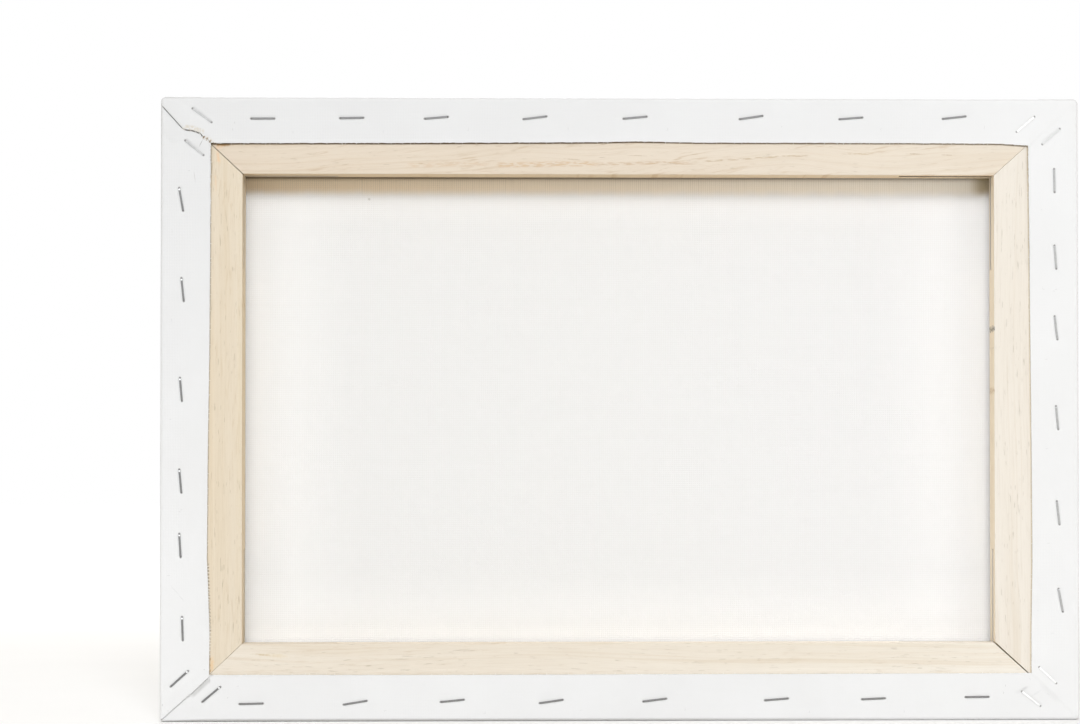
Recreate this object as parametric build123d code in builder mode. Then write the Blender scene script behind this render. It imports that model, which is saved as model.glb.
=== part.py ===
"""Stretched artist's canvas: four stretcher bars with interlocking mitred
corners, one sheet of primed cotton wrapped over them, and the wire staples
that hold it on the back.

Frame: +Z up, X along the width, the painted face looks towards -Y and the
stapled back towards +Y. The origin is the centre of the bounding box's
underside. Left and right are named as seen from the painted face. Millimetres.
"""
import os
from math import cos, radians, sin

from build123d import *

# ---------------------------------------------------------------- dimensions
WIDTH = 450.0          # over the canvas
HEIGHT = 304.9         # over the canvas
CANVAS_T = 0.6         # primed cotton canvas
BAR_T = 18.0           # stretcher stock, front to back
TOP_W = 36.8           # top bar, outer edge to inner edge
BOTTOM_W = 37.2        # bottom bar
LEFT_W = 40.9          # left bar
RIGHT_W = 39.3         # right bar

EDGE_FRONT_R = 1.3     # rounding of the bars' outer front edge
EDGE_BACK_R = 0.8      # rounding of the bars' outer back edge
CORNER_R = 1.4         # rounding of the frame's four outer corners

BEAD_W = 5.2           # raised bead that the canvas rests on
BEAD_DROP = 1.7        # step from the bead down to the bevelled face
BEVEL_DROP = 2.7       # drop of the bevelled face at the inner edge
INNER_EASE = 0.15      # eased inner back edge

LAYER_T = 4.0          # thickness of each slot layer
TONGUE_PLAY = 0.05     # clearance on each broad side of a tongue
TONGUE_END_GAP = 0.6   # a tongue stops short of the neighbour's outer side
TONGUE_EDGE_GAP = 0.3  # and of its own bar's inner edge
KEY_SLOT = 46.0        # saw slot open on the inner side, past the inner corner
SLOT_OVERRUN = 5.0     # the same slot at the outer side, past the tongue
SLOT_SAGITTA = 3.2     # round bottom that the saw blade leaves

# Opening of each mitre: (at the inner corner, at the outer corner)
MITRE_GAP = {
    "top_right": (0.34, 0.07),
    "top_left": (0.12, 0.05),
    "bottom_right": (0.16, 0.04),
    "bottom_left": (0.74, 0.02),
}

STAPLE_CROWN = 11.6    # outside width of the crown
STAPLE_LEG = 6.0       # outside length of a leg
STAPLE_WIRE_W = 0.95   # flat wire, across the crown
STAPLE_WIRE_T = 0.70   # flat wire, along the legs' depth
STAPLE_BEND_R = 0.80

half_w = WIDTH / 2
half_d = BAR_T / 2 + CANVAS_T          # 9.6: back and front of the canvas
back_y = BAR_T / 2                     # back face of the wood
front_y = -BAR_T / 2                   # top of the bead
bar_x = half_w - CANVAS_T              # outer face of the side bars
bar_z0 = CANVAS_T                      # outer face of the bottom bar
bar_z1 = HEIGHT - CANVAS_T             # outer face of the top bar
frame_w = 2 * bar_x
frame_h = bar_z1 - bar_z0
mid_z = HEIGHT / 2

os.makedirs("parts", exist_ok=True)

# ------------------------------------------------------------------- staples
# (x, z, turn in degrees from +X towards +Z) of each crown's middle
STAPLE_ROWS = {
    "staples_top": [
        (175.3, 294.5, -0.2), (131.9, 294.9, -1.3), (90.5, 295.1, -4.9),
        (42.2, 295.2, -7.2), (-6.9, 295.4, -5.4), (-63.9, 295.6, -8.5),
        (-113.0, 295.3, -4.5), (-163.9, 295.8, -6.5),
    ],
    "staples_bottom": [
        (180.4, 8.7, -1.3), (129.8, 9.1, -9.3), (82.5, 9.9, -5.6),
        (34.2, 9.5, -8.3), (-16.4, 10.1, -7.0), (-76.0, 10.3, -4.6),
        (-123.6, 10.5, -2.4), (-174.5, 11.3, -0.5),
    ],
    "staples_right": [
        (215.0, 254.8, 80.0), (214.2, 210.7, 84.0), (214.9, 161.9, 84.8),
        (215.1, 117.2, 84.8), (215.2, 85.8, 86.5), (213.9, 45.3, 87.8),
    ],
    "staples_left": [
        (-213.3, 264.9, 88.9), (-213.7, 227.2, 85.7), (-213.9, 192.4, 83.1),
        (-214.3, 148.2, 84.5), (-214.7, 101.5, 83.6), (-215.8, 58.6, 79.4),
    ],
    "corner_staples_top_right": [(204.9, 296.0, 36.0), (208.6, 280.1, 38.9)],
    "corner_staples_bottom_right": [(215.3, 20.9, -42.0), (199.8, 13.3, -39.9)],
    "corner_staples_top_left": [(-199.1, 292.6, -40.3), (-211.7, 286.6, -41.5)],
    "corner_staples_bottom_left": [(-209.3, 21.9, 43.4), (-201.1, 10.4, 37.9)],
}

crown_half = STAPLE_CROWN / 2
bend_x = crown_half - STAPLE_BEND_R + STAPLE_BEND_R * sin(radians(45))
bend_y = STAPLE_BEND_R - STAPLE_BEND_R * cos(radians(45))

staple_groups = {}
for group_name, crowns in STAPLE_ROWS.items():
    with BuildPart() as staples:
        for x, z, turn in crowns:
            # The crown runs along the plane's X and the legs along its Y,
            # which points into the wood.
            c, s = cos(radians(turn)), sin(radians(turn))
            staple_plane = Plane(origin=(x, half_d, z), x_dir=(c, 0, s), z_dir=(s, 0, -c))
            with BuildSketch(staple_plane):
                with BuildLine():
                    Line((-crown_half + STAPLE_BEND_R, 0), (crown_half - STAPLE_BEND_R, 0))
                    ThreePointArc((crown_half - STAPLE_BEND_R, 0), (bend_x, bend_y), (crown_half, STAPLE_BEND_R))
                    Polyline(
                        (crown_half, STAPLE_BEND_R),
                        (crown_half, STAPLE_LEG - 0.7),
                        (crown_half - STAPLE_WIRE_T, STAPLE_LEG),
                        (crown_half - STAPLE_WIRE_T, STAPLE_WIRE_T),
                        (-crown_half + STAPLE_WIRE_T, STAPLE_WIRE_T),
                        (-crown_half + STAPLE_WIRE_T, STAPLE_LEG),
                        (-crown_half, STAPLE_LEG - 0.7),
                        (-crown_half, STAPLE_BEND_R),
                    )
                    ThreePointArc((-crown_half, STAPLE_BEND_R), (-bend_x, bend_y), (-crown_half + STAPLE_BEND_R, 0))
                make_face()
            extrude(amount=STAPLE_WIRE_W / 2, both=True)
    staples.part.label = group_name
    export_step(staples.part, f"parts/{group_name}.step")
    staple_groups[group_name] = staples.part

# ------------------------------------------------- envelope of the wood frame
# The outside of the assembled bars: eased corners, the rounded front edge and
# the lightly eased back edge. Every bar is trimmed to it and the canvas is
# wrapped over it, so wood and cloth meet face to face.
with BuildPart() as envelope:
    with Locations((0, 0, mid_z)):
        Box(frame_w, BAR_T, frame_h)
    fillet(envelope.edges().filter_by(Axis.Y), CORNER_R)
    fillet(envelope.faces().sort_by(Axis.Y)[0].edges(), EDGE_FRONT_R)
    fillet(envelope.faces().sort_by(Axis.Y)[-1].edges(), EDGE_BACK_R)

# ------------------------------------------------------------ stretcher bars
# Each bar has its own pair of planes at the middle of its outer face. In both,
# "along" runs round the frame in one direction (top bar to the right, right
# bar down, bottom bar to the left, left bar up), so the joinery is the same on
# every bar: at its start the slot lies in the layer nearer the back, and at
# its finish in the layer nearer the front. Such bars fit each other all round.
# name: (outer middle, inward, along, length, own width,
#        (corner, neighbour's width) at the start, and at the finish)
BARS = {
    "top_bar": ((0, 0, bar_z1), (0, 0, -1), (1, 0, 0), frame_w, TOP_W,
                ("top_left", LEFT_W), ("top_right", RIGHT_W)),
    "right_bar": ((bar_x, 0, mid_z), (-1, 0, 0), (0, 0, -1), frame_h, RIGHT_W,
                  ("top_right", TOP_W), ("bottom_right", BOTTOM_W)),
    "bottom_bar": ((0, 0, bar_z0), (0, 0, 1), (-1, 0, 0), frame_w, BOTTOM_W,
                   ("bottom_right", RIGHT_W), ("bottom_left", LEFT_W)),
    "left_bar": ((-bar_x, 0, mid_z), (1, 0, 0), (0, 0, 1), frame_h, LEFT_W,
                 ("bottom_left", BOTTOM_W), ("top_left", TOP_W)),
}
NEAR_BACK = (0.0, LAYER_T)      # Y range of the slot layer nearer the back
NEAR_FRONT = (-LAYER_T, 0.0)    # and of the one nearer the front

for bar_name, (middle, inward, along, length, own_w, start, finish) in BARS.items():
    section_plane = Plane(origin=middle, x_dir=inward, z_dir=along)
    face_plane = Plane(origin=middle, x_dir=along, z_dir=(0, 1, 0))
    end = length / 2

    with BuildPart() as bar:
        # Stock: flat back, square sides, and on the front the raised outer
        # bead with the face bevelled away behind it, clear of the canvas.
        with BuildSketch(section_plane):
            with BuildLine():
                Polyline(
                    (0, back_y),
                    (own_w - INNER_EASE, back_y),
                    (own_w, back_y - INNER_EASE),
                    (own_w, front_y + BEVEL_DROP + 0.8),
                    (own_w - 0.8, front_y + BEVEL_DROP),
                    (BEAD_W + 1.6, front_y + BEAD_DROP),
                    (BEAD_W, front_y),
                    (0, front_y),
                    close=True,
                )
            make_face()
        extrude(amount=end, both=True)

        # Both ends: mirrored outlines, and opposite layers for the tongue.
        for side, (corner, next_w), slot, tongue in (
            (-1, start, NEAR_BACK, NEAR_FRONT),
            (1, finish, NEAR_FRONT, NEAR_BACK),
        ):
            gap_in, gap_out = MITRE_GAP[corner]
            inner_s = end - next_w - 0.75 * gap_in      # mitre, at the inner edge
            outer_s = end - 0.75 * gap_out              # mitre, at the outer edge
            waste = [
                (side * inner_s, own_w), (side * outer_s, 0), (side * outer_s, -1),
                (side * (end + 1), -1), (side * (end + 1), own_w + 1), (side * inner_s, own_w + 1),
            ]
            # Mitre on both cheeks, leaving the tongue standing between them.
            for y_from, y_to in (
                (tongue[1] - TONGUE_PLAY, back_y + 1),
                (front_y - 1, tongue[0] + TONGUE_PLAY),
            ):
                with BuildSketch(face_plane.offset(y_from)):
                    with BuildLine():
                        Polyline(*waste, close=True)
                    make_face()
                extrude(amount=y_to - y_from, mode=Mode.SUBTRACT)

            # The tongue is shortened, and narrowed along its inner edge.
            with BuildSketch(face_plane.offset(tongue[0])):
                with BuildLine():
                    Polyline(
                        (side * (end - TONGUE_END_GAP), -1),
                        (side * (end - TONGUE_END_GAP), own_w - TONGUE_EDGE_GAP),
                        (side * (end - next_w + 0.2), own_w - TONGUE_EDGE_GAP),
                        (side * (end - next_w + 0.2), own_w + 1),
                        (side * (end + 1), own_w + 1),
                        (side * (end + 1), -1),
                        close=True,
                    )
                make_face()
            extrude(amount=tongue[1] - tongue[0], mode=Mode.SUBTRACT)

            # Saw slot for the neighbour's tongue and, past it, for a key. It
            # is open on the inner side and ends in the blade's round bottom.
            key_s = end - next_w - KEY_SLOT
            stop_s = end - next_w - SLOT_OVERRUN
            dx, dy = stop_s - key_s, -own_w
            norm = (dx * dx + dy * dy) ** 0.5
            mid_s = (key_s + stop_s) / 2 + SLOT_SAGITTA * dy / norm
            mid_u = own_w / 2 - SLOT_SAGITTA * dx / norm
            with BuildSketch(face_plane.offset(slot[0])):
                with BuildLine():
                    ThreePointArc((side * key_s, own_w), (side * mid_s, mid_u), (side * stop_s, 0))
                    Polyline(
                        (side * stop_s, 0), (side * stop_s, -1), (side * (end + 1), -1),
                        (side * (end + 1), own_w + 1), (side * key_s, own_w + 1), (side * key_s, own_w),
                    )
                make_face()
            extrude(amount=slot[1] - slot[0], mode=Mode.SUBTRACT)

        add(envelope.part, mode=Mode.INTERSECT)
        for group in staple_groups.values():
            add(group, mode=Mode.SUBTRACT)

    bar.part.label = bar_name
    export_step(bar.part, f"parts/{bar_name}.step")

# -------------------------------------------------------------------- canvas
# The cut edge of the flaps on the back, as a ring of points: distance from the
# outer edge varies a little along each side, as hand-cut cloth does.
FLAP_EDGE = [
    # top edge, from +X to -X: (x, z)
    (200.5, 282.3), (108.0, 282.6), (11.0, 283.2), (-8.0, 283.6), (-38.0, 283.1),
    (-137.0, 283.1), (-186.0, 282.9), (-200.2, 282.0),
    # left edge, down
    (-200.8, 230.9), (-201.2, 181.0), (-201.6, 131.0), (-201.9, 80.0),
    (-201.3, 43.4), (-201.3, 23.1),
    # bottom edge, from -X to +X
    (-186.0, 22.9), (-88.0, 22.8), (98.0, 22.6), (200.8, 22.8),
    # right edge, up
    (200.7, 44.4), (202.0, 80.0), (201.7, 131.5), (201.0, 181.0), (200.7, 231.0),
]

with BuildPart() as canvas:
    with Locations((0, 0, mid_z)):
        Box(WIDTH, 2 * half_d, HEIGHT)
    fillet(canvas.edges().filter_by(Axis.Y), CORNER_R + CANVAS_T)
    fillet(canvas.faces().sort_by(Axis.Y)[0].edges(), EDGE_FRONT_R + CANVAS_T)
    fillet(canvas.faces().sort_by(Axis.Y)[-1].edges(), EDGE_BACK_R + CANVAS_T)
    add(envelope.part, mode=Mode.SUBTRACT)
    with BuildSketch(Plane(origin=(0, back_y - 1, 0), x_dir=(1, 0, 0), z_dir=(0, -1, 0))):
        with BuildLine():
            Polyline(*FLAP_EDGE, close=True)
        make_face()
    extrude(amount=-3, mode=Mode.SUBTRACT)
    for group in staple_groups.values():
        add(group, mode=Mode.SUBTRACT)

canvas.part.label = "canvas"
export_step(canvas.part, "parts/canvas.step")
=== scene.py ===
import math

import bmesh
import bpy
import numpy as np
from mathutils import Euler, Matrix, Vector


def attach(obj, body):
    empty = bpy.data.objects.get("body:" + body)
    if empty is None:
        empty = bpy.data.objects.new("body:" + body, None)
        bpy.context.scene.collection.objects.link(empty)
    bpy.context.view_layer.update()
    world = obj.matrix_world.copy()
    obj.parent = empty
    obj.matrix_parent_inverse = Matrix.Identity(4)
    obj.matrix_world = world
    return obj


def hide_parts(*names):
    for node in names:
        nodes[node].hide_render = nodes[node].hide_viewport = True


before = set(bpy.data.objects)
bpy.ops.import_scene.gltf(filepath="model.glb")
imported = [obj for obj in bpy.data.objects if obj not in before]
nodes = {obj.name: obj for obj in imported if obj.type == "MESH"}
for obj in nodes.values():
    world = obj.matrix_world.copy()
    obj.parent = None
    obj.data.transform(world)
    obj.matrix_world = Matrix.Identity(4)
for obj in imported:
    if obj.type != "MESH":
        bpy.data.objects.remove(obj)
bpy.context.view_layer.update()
MM = 0.001
scene = bpy.context.scene

# ------------------------------------------------------------------ sizes, mm
WIDTH, HEIGHT, HALF_T = 450.0, 304.9, 9.6
CORNER_R, BACK_R, FRONT_R = 2.0, 1.4, 1.9
CLOTH = 0.55
DEPTH = 2 * HALF_T

# cut edge of the canvas on the back, (x, z), one leg after another
EDGE_TOP = [(200.5, 282.3), (108.0, 282.6), (11.0, 283.2), (-8.0, 283.6), (-38.0, 283.1), (-137.0, 283.1), (-186.0, 282.9), (-200.2, 282.0)]
EDGE_LEFT = [(-200.2, 282.0), (-200.8, 230.9), (-201.2, 181.0), (-201.6, 131.0), (-201.9, 80.0), (-201.3, 43.4), (-201.3, 23.1)]
EDGE_BOTTOM = [(-201.3, 23.1), (-186.0, 22.9), (-88.0, 22.8), (98.0, 22.6), (200.8, 22.8)]
EDGE_RIGHT = [(200.8, 22.8), (200.7, 44.4), (202.0, 80.0), (201.7, 131.5), (201.0, 181.0), (200.7, 231.0), (200.5, 282.3)]

# staples: centre x, z, and turn in degrees from +X towards +Z
ROW_TOP = [(175.3, 294.5, -0.2), (131.9, 294.9, -1.3), (90.5, 295.1, -4.9), (42.2, 295.2, -7.2), (-6.9, 295.4, -5.4), (-63.9, 295.6, -8.5), (-113.0, 295.3, -4.5), (-163.9, 295.8, -6.5)]
ROW_BOTTOM = [(180.4, 8.7, -1.3), (129.8, 9.1, -9.3), (82.5, 9.9, -5.6), (34.2, 9.5, -8.3), (-16.4, 10.1, -7.0), (-76.0, 10.3, -4.6), (-123.6, 10.5, -2.4), (-174.5, 11.3, -0.5)]
ROW_RIGHT = [(215.0, 254.8, 80.0), (214.2, 210.7, 84.0), (214.9, 161.9, 84.8), (215.1, 117.2, 84.8), (215.2, 85.8, 86.5), (213.9, 45.3, 87.8)]
ROW_LEFT = [(-213.3, 264.9, 88.9), (-213.7, 227.2, 85.7), (-213.9, 192.4, 83.1), (-214.3, 148.2, 84.5), (-214.7, 101.5, 83.6), (-215.8, 58.6, 79.4)]
CORNERS = [(204.9, 296.0, 36.0), (208.6, 280.1, 38.9), (215.3, 20.9, -42.0), (199.8, 13.3, -39.9), (-199.1, 292.6, -40.3), (-211.7, 286.6, -41.5), (-209.3, 21.9, 43.4), (-201.1, 10.4, 37.9)]
STAPLES = ROW_TOP + ROW_BOTTOM + ROW_RIGHT + ROW_LEFT + CORNERS


# ------------------------------------------------------------------ camera
def make_camera():
    data = bpy.data.cameras.new("camera")
    cam = bpy.data.objects.new("camera", data)
    scene.collection.objects.link(cam)
    data.sensor_width = 36.0
    data.lens = 92.434
    data.shift_x, data.shift_y = -0.06, 0.06
    data.clip_start, data.clip_end = 0.02, 60.0
    yaw, pitch, roll = (math.radians(a) for a in (1.2705, 0.9591, -0.0153))
    forward = Vector((-math.sin(yaw) * math.cos(pitch), -math.cos(yaw) * math.cos(pitch), math.sin(pitch)))
    right = Vector((-math.cos(yaw), math.sin(yaw), 0.0))
    up = right.cross(forward)
    r2 = math.cos(roll) * right + math.sin(roll) * up
    u2 = -math.sin(roll) * right + math.cos(roll) * up
    rot = Matrix((r2, u2, -forward)).transposed()
    cam.matrix_world = Matrix.Translation(Vector((38.08, 1366.31, 121.00)) * MM) @ rot.to_4x4()
    scene.camera = cam
    return cam


make_camera()


# ------------------------------------------------------------------ small seeded noise
def value_noise(u, v, seed):
    """Smooth noise in -1..1 on arrays u, v (one cell per unit)."""
    iu, iv = np.floor(u).astype(np.int64), np.floor(v).astype(np.int64)
    fu, fv = u - iu, v - iv
    fu, fv = fu * fu * (3 - 2 * fu), fv * fv * (3 - 2 * fv)

    def h(a, b):
        n = (a * 374761393 + b * 668265263 + seed * 1274126177) & 0xFFFFFFFF
        n = ((n ^ (n >> 13)) * 1103515245) & 0xFFFFFFFF
        n = (n ^ (n >> 16)) & 0xFFFFFFFF
        return n / 2147483647.5 - 1.0

    a, b, c, d = h(iu, iv), h(iu + 1, iv), h(iu, iv + 1), h(iu + 1, iv + 1)
    return (a * (1 - fu) + b * fu) * (1 - fv) + (c * (1 - fu) + d * fu) * fv


def step(x, a, b):
    t = np.clip((x - a) / (b - a), 0, 1)
    return t * t * (3 - 2 * t)


def along(points, t, axis):
    """The cut edge's other coordinate at t, along a leg's list of (x, z)."""
    p = sorted((q[axis], q[1 - axis]) for q in points)
    return np.interp(t, [a for a, _ in p], [b for _, b in p])


def seam_distance(a, b, line):
    """Signed distance to a polyline in a corner's own (a, b) plane, and how far along it."""
    best, sign, where = np.full(a.shape, 1e9), np.ones(a.shape), np.zeros(a.shape)
    run = 0.0
    for (x0, y0), (x1, y1) in zip(line[:-1], line[1:]):
        dx, dy = x1 - x0, y1 - y0
        length = math.hypot(dx, dy)
        t = np.clip(((a - x0) * dx + (b - y0) * dy) / length**2, 0, 1)
        d = np.hypot(a - x0 - t * dx, b - y0 - t * dy)
        side = np.sign(dx * (b - y0) - dy * (a - x0))
        nearer = d < best
        best = np.where(nearer, d, best)
        sign = np.where(nearer, side, sign)
        where = np.where(nearer, run + t * length, where)
        run += length
    return best * sign, where


# seams of the folded corners in (distance from the side edge, distance from the top or bottom edge)
SEAM_TR = [(-1.0, 2.6), (1.0, 4.8), (4.2, 8.3), (10.8, 15.6), (12.5, 16.2), (15.6, 16.6), (19.2, 17.8), (21.2, 20.2), (23.0, 20.9), (25.4, 22.9)]
SEAM_BR = [(-1.0, -0.8), (3.2, 2.8), (8.0, 7.1), (13.7, 12.1), (15.4, 13.4), (19.5, 17.2), (24.6, 22.0), (26.0, 23.4)]
SEAM_PLAIN = [(-1.0, -1.0), (24.0, 23.0)]


def back_height(x, z):
    """How far the canvas stands off its flat place on the back, mm."""
    h = np.zeros(x.shape)
    # slack between the staples, drawn down at each
    h += 0.05 * value_noise(x / 17.0, z / 11.0, 3) + 0.025 * value_noise(x / 5.5, z / 5.0, 4)
    ex, ez = WIDTH / 2 - np.abs(x), np.minimum(z, HEIGHT - z)
    flap = step(np.minimum(ex, ez), 0.6, 4.0)
    h *= flap
    for n, (cx, cz, turn) in enumerate(STAPLES):
        near = (np.abs(x - cx) < 17) & (np.abs(z - cz) < 17)
        if not near.any():
            continue
        t = math.radians(turn)
        u = (x[near] - cx) * math.cos(t) + (z[near] - cz) * math.sin(t)
        v = -(x[near] - cx) * math.sin(t) + (z[near] - cz) * math.cos(t)
        end = np.clip(np.abs(u) - 5.2, 0, None)
        d = np.hypot(v, end)
        pull = -0.26 * np.exp(-((d / 0.95) ** 2)) - 0.13 * np.exp(-((d / 3.4) ** 2))
        pits = -0.12 * (np.exp(-(((u - 5.5) ** 2 + v**2) / 0.5)) + np.exp(-(((u + 5.5) ** 2 + v**2) / 0.5)))
        # short folds that run out from the ends of the crown
        rays = np.zeros(u.shape)
        for k, (side, lean) in enumerate(((1, 0.35), (1, -0.55), (-1, 0.5), (-1, -0.3))):
            uu, vv = (u - side * 5.6) * side, v
            a = math.atan2(math.sin(lean), math.cos(lean))
            p, q = uu * math.cos(a) + vv * math.sin(a), -uu * math.sin(a) + vv * math.cos(a)
            rays += 0.045 * np.exp(-((q / (0.45 + 0.06 * np.clip(p, 0, 9))) ** 2)) * step(p, 0.2, 1.5) * (1 - step(p, 3.5, 9.0))
        h[near] += pull + pits + rays * flap[near]
    # the cut edge stands a little off the wood
    top = step(z, 240.0, 262.0) * (np.abs(x) < 200.6)
    q_top = z - along(EDGE_TOP, x, 0)
    q_bottom = along(EDGE_BOTTOM, x, 0) - z
    q_left = along(EDGE_LEFT, z, 1) - x
    q_right = x - along(EDGE_RIGHT, z, 1)
    lift_t = 0.34 + 0.18 * value_noise(x / 31.0, z * 0, 11) + 0.08 * value_noise(x / 8.0, z * 0, 12)
    lift_b = 0.03 + 0.05 * value_noise(x / 27.0, z * 0, 13)
    lift_l = 0.12 + 0.08 * value_noise(z / 23.0, x * 0, 14)
    lift_r = 0.16 + 0.09 * value_noise(z / 25.0, x * 0, 15)
    inside = np.abs(x) < 200.9
    h += np.where(inside & (z > 150), lift_t * np.exp(-np.clip(q_top, 0, 30) / 1.9), 0)
    h += np.where(inside & (z <= 150), lift_b * np.exp(-np.clip(q_bottom, 0, 30) / 1.6), 0)
    mid = (z > 22.4) & (z < 283.0)
    h += np.where(mid & (x < 0), lift_l * np.exp(-np.clip(q_left, 0, 30) / 1.6), 0)
    h += np.where(mid & (x > 0), lift_r * np.exp(-np.clip(q_right, 0, 30) / 1.6), 0)
    # folded corners
    for sx, sz, line, upper, rise, fade in (
        (1, 1, SEAM_TR, 1, 0.50, 11.0),
        (1, -1, SEAM_BR, -1, 0.46, 12.0),
        (-1, 1, SEAM_PLAIN, 1, 0.10, 8.0),
        (-1, -1, SEAM_PLAIN, -1, 0.12, 8.0),
    ):
        near = (sx * x > 190) & ((z > HEIGHT - 36) if sz > 0 else (z < 36))
        if not near.any():
            continue
        a, b = WIDTH / 2 - sx * x[near], (HEIGHT - z[near]) if sz > 0 else z[near]
        d, where = seam_distance(a, b, line)
        d = -d * upper  # positive on the layer that lies on top
        reach = 1 - step(d, 2.0, fade)
        out = np.minimum(step(np.minimum(a, b), -0.5, 1.6), 1.0)
        up = rise * step(d, -0.10, 0.22) * reach
        lip = 0.10 * np.exp(-((d - 0.45) / 0.45) ** 2)
        crack = -0.30 * np.exp(-((d + 0.16) / 0.20) ** 2)
        scale = min(1.0, rise / 0.4)
        h[near] += (up + (lip + crack) * scale) * (0.35 + 0.65 * out)
        if rise > 0.3:  # the folded-in corner lies under both layers
            under = 0.22 * (1 - step(np.abs(d), 6.0, 9.5)) * (1 - step(np.hypot(a, b), 21.0, 24.5))
            h[near] += under * out
            puff = 0.10 * value_noise(a / 4.2, b / 4.2, 21 + sz)
            h[near] += puff * (1 - step(np.abs(d), 5.0, 10.0)) * out
    # a faint crease on the side flap
    p0, p1 = np.array([208.9, 269.3]), np.array([207.9, 262.7])
    dd = p1 - p0
    t = np.clip(((x - p0[0]) * dd[0] + (z - p0[1]) * dd[1]) / (dd @ dd), 0, 1)
    dist = np.hypot(x - p0[0] - t * dd[0], z - p0[1] - t * dd[1])
    h -= 0.10 * np.exp(-((dist / 0.35) ** 2))
    return h


FOLDS = {(1, 1): (SEAM_TR, 1.0), (1, -1): (SEAM_BR, 2.0), (-1, 1): (SEAM_PLAIN, 3.0), (-1, -1): (SEAM_PLAIN, 4.0)}


def fold_mark(x, z):
    """Signed distance to the nearest corner's seam (mm, positive on the top or bottom flap), run along it, and which corner."""
    out = np.zeros((*x.shape, 3))
    for (sx, sz), (line, code) in FOLDS.items():
        near = (sx * x >= 0) & (sz * (z - HEIGHT / 2) >= 0)
        if near.any():
            a, b = WIDTH / 2 - sx * x[near], (HEIGHT - z[near]) if sz > 0 else z[near]
            d, where = seam_distance(a, b, line)
            out[near] = np.stack([np.clip(-d, -20, 20), where, np.full(d.shape, code)], -1)
    return out


def staple_mark(x, z):
    """Place of a point in the nearest staple's own plane: along the crown and across it, mm."""
    out = np.full((*x.shape, 3), 20.0)
    best = np.full(x.shape, 12.0)
    for n, (cx, cz, turn) in enumerate(STAPLES):
        t = math.radians(turn)
        u = (x - cx) * math.cos(t) + (z - cz) * math.sin(t)
        v = -(x - cx) * math.sin(t) + (z - cz) * math.cos(t)
        d = np.hypot(v, np.clip(np.abs(u) - 5.8, 0, None))
        near = d < best
        best = np.where(near, d, best)
        out[near] = np.stack([u, v, np.full(u.shape, n / 10.0)], -1)[near]
    return out


def side_height(x, z, e):
    """The same on the four sides: e is the distance down from the back edge."""
    ex, ez = WIDTH / 2 - np.abs(x), np.minimum(z, HEIGHT - z)
    on_rail = ez < ex
    run = np.where(on_rail, ex, ez)
    h = 0.05 * value_noise(np.where(on_rail, x, z + 900) / 21.0, e / 9.0, 31)
    ends = step(e, 0.0, 3.0) * (1 - step(e, DEPTH - 3.0, DEPTH - 0.5))
    h = h * ends
    # the folded triangle under the cloth of the top and bottom sides
    w = run
    diag = (DEPTH - e) * 1.02 + 1.6 - w
    fold = 0.38 * step(diag, -0.5, 0.5) * step(w, 0.2, 1.4)
    seam = -0.42 * np.exp(-((w - 0.9) / 0.32) ** 2) * step(e, 0.4, 1.6) * (1 - step(e, DEPTH - 2.2, DEPTH - 0.6))
    h += np.where(on_rail, (fold * step(e, 0.3, 2.5) + seam) * (1 - 0.75 * step(e, DEPTH - 3.5, DEPTH - 1.0)), 0)
    # the underside is pressed flat by what it stands on
    return np.where(on_rail & (z < HEIGHT / 2), np.minimum(h, 0.0), h)


# ------------------------------------------------------------------ the wrapped shape
def ring_place(x, z, inset):
    """Point of the outline ring with this inset, for sharp coordinates (x, z). Returns x, z and the outward plan normal."""
    ex, ez = WIDTH / 2 - np.abs(x), HEIGHT / 2 - np.abs(z - HEIGHT / 2)
    sx, sz = np.where(x >= 0, 1.0, -1.0), np.where(z >= HEIGHT / 2, 1.0, -1.0)
    m, o = np.minimum(ex, ez), np.maximum(ex, ez)
    rail = ez <= ex
    rc = np.clip(CORNER_R - inset, 0, None)
    a = np.where(m < CORNER_R, np.clip((o - m) / np.clip(CORNER_R - m, 1e-6, None), 0, 1), 1.0)
    phi = math.pi / 4 * (1 - a)
    near_o = CORNER_R - rc * np.sin(phi)
    near_i = CORNER_R - rc * np.cos(phi)
    curved = (m < CORNER_R) & (o < CORNER_R)
    po = np.where(curved, near_o, o)
    pi = np.where(curved, near_i, inset)
    px, pz = np.where(rail, po, pi), np.where(rail, pi, po)
    no = np.where(curved, np.sin(phi), 0.0)
    ni = np.where(curved, np.cos(phi), 1.0)
    nx, nz = np.where(rail, no, ni), np.where(rail, ni, no)
    return sx * (WIDTH / 2 - px), HEIGHT / 2 + sz * (HEIGHT / 2 - pz), sx * nx, sz * nz


def bend(s, r):
    """Inset, depth and angle of a rounded edge: s is minus the distance on the face, plus that down the side."""
    t = np.clip((s + r) / (2 * r), 0, 1) * math.pi / 2
    inset = np.where(s < -r, -s, r - r * np.sin(t))
    depth = np.where(s > r, s, r - r * np.cos(t))
    return inset, depth, t


def face_points(x, z, off, face=1, height=None):
    """Points of the back (face 1) or front (face -1) for sharp coordinates."""
    r = BACK_R if face > 0 else FRONT_R
    m = np.minimum(WIDTH / 2 - np.abs(x), HEIGHT / 2 - np.abs(z - HEIGHT / 2))
    inset, depth, t = bend(-m, r)
    px, pz, nx, nz = ring_place(x, z, inset)
    n = np.stack([nx * np.sin(t), face * np.cos(t), nz * np.sin(t)], -1)
    n /= np.linalg.norm(n, axis=-1, keepdims=True)
    p = np.stack([px, face * (HALF_T - depth), pz], -1)
    h = off + (0 if height is None else height)
    return p + n * np.asarray(h)[..., None] if np.ndim(h) else p + n * h


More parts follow.
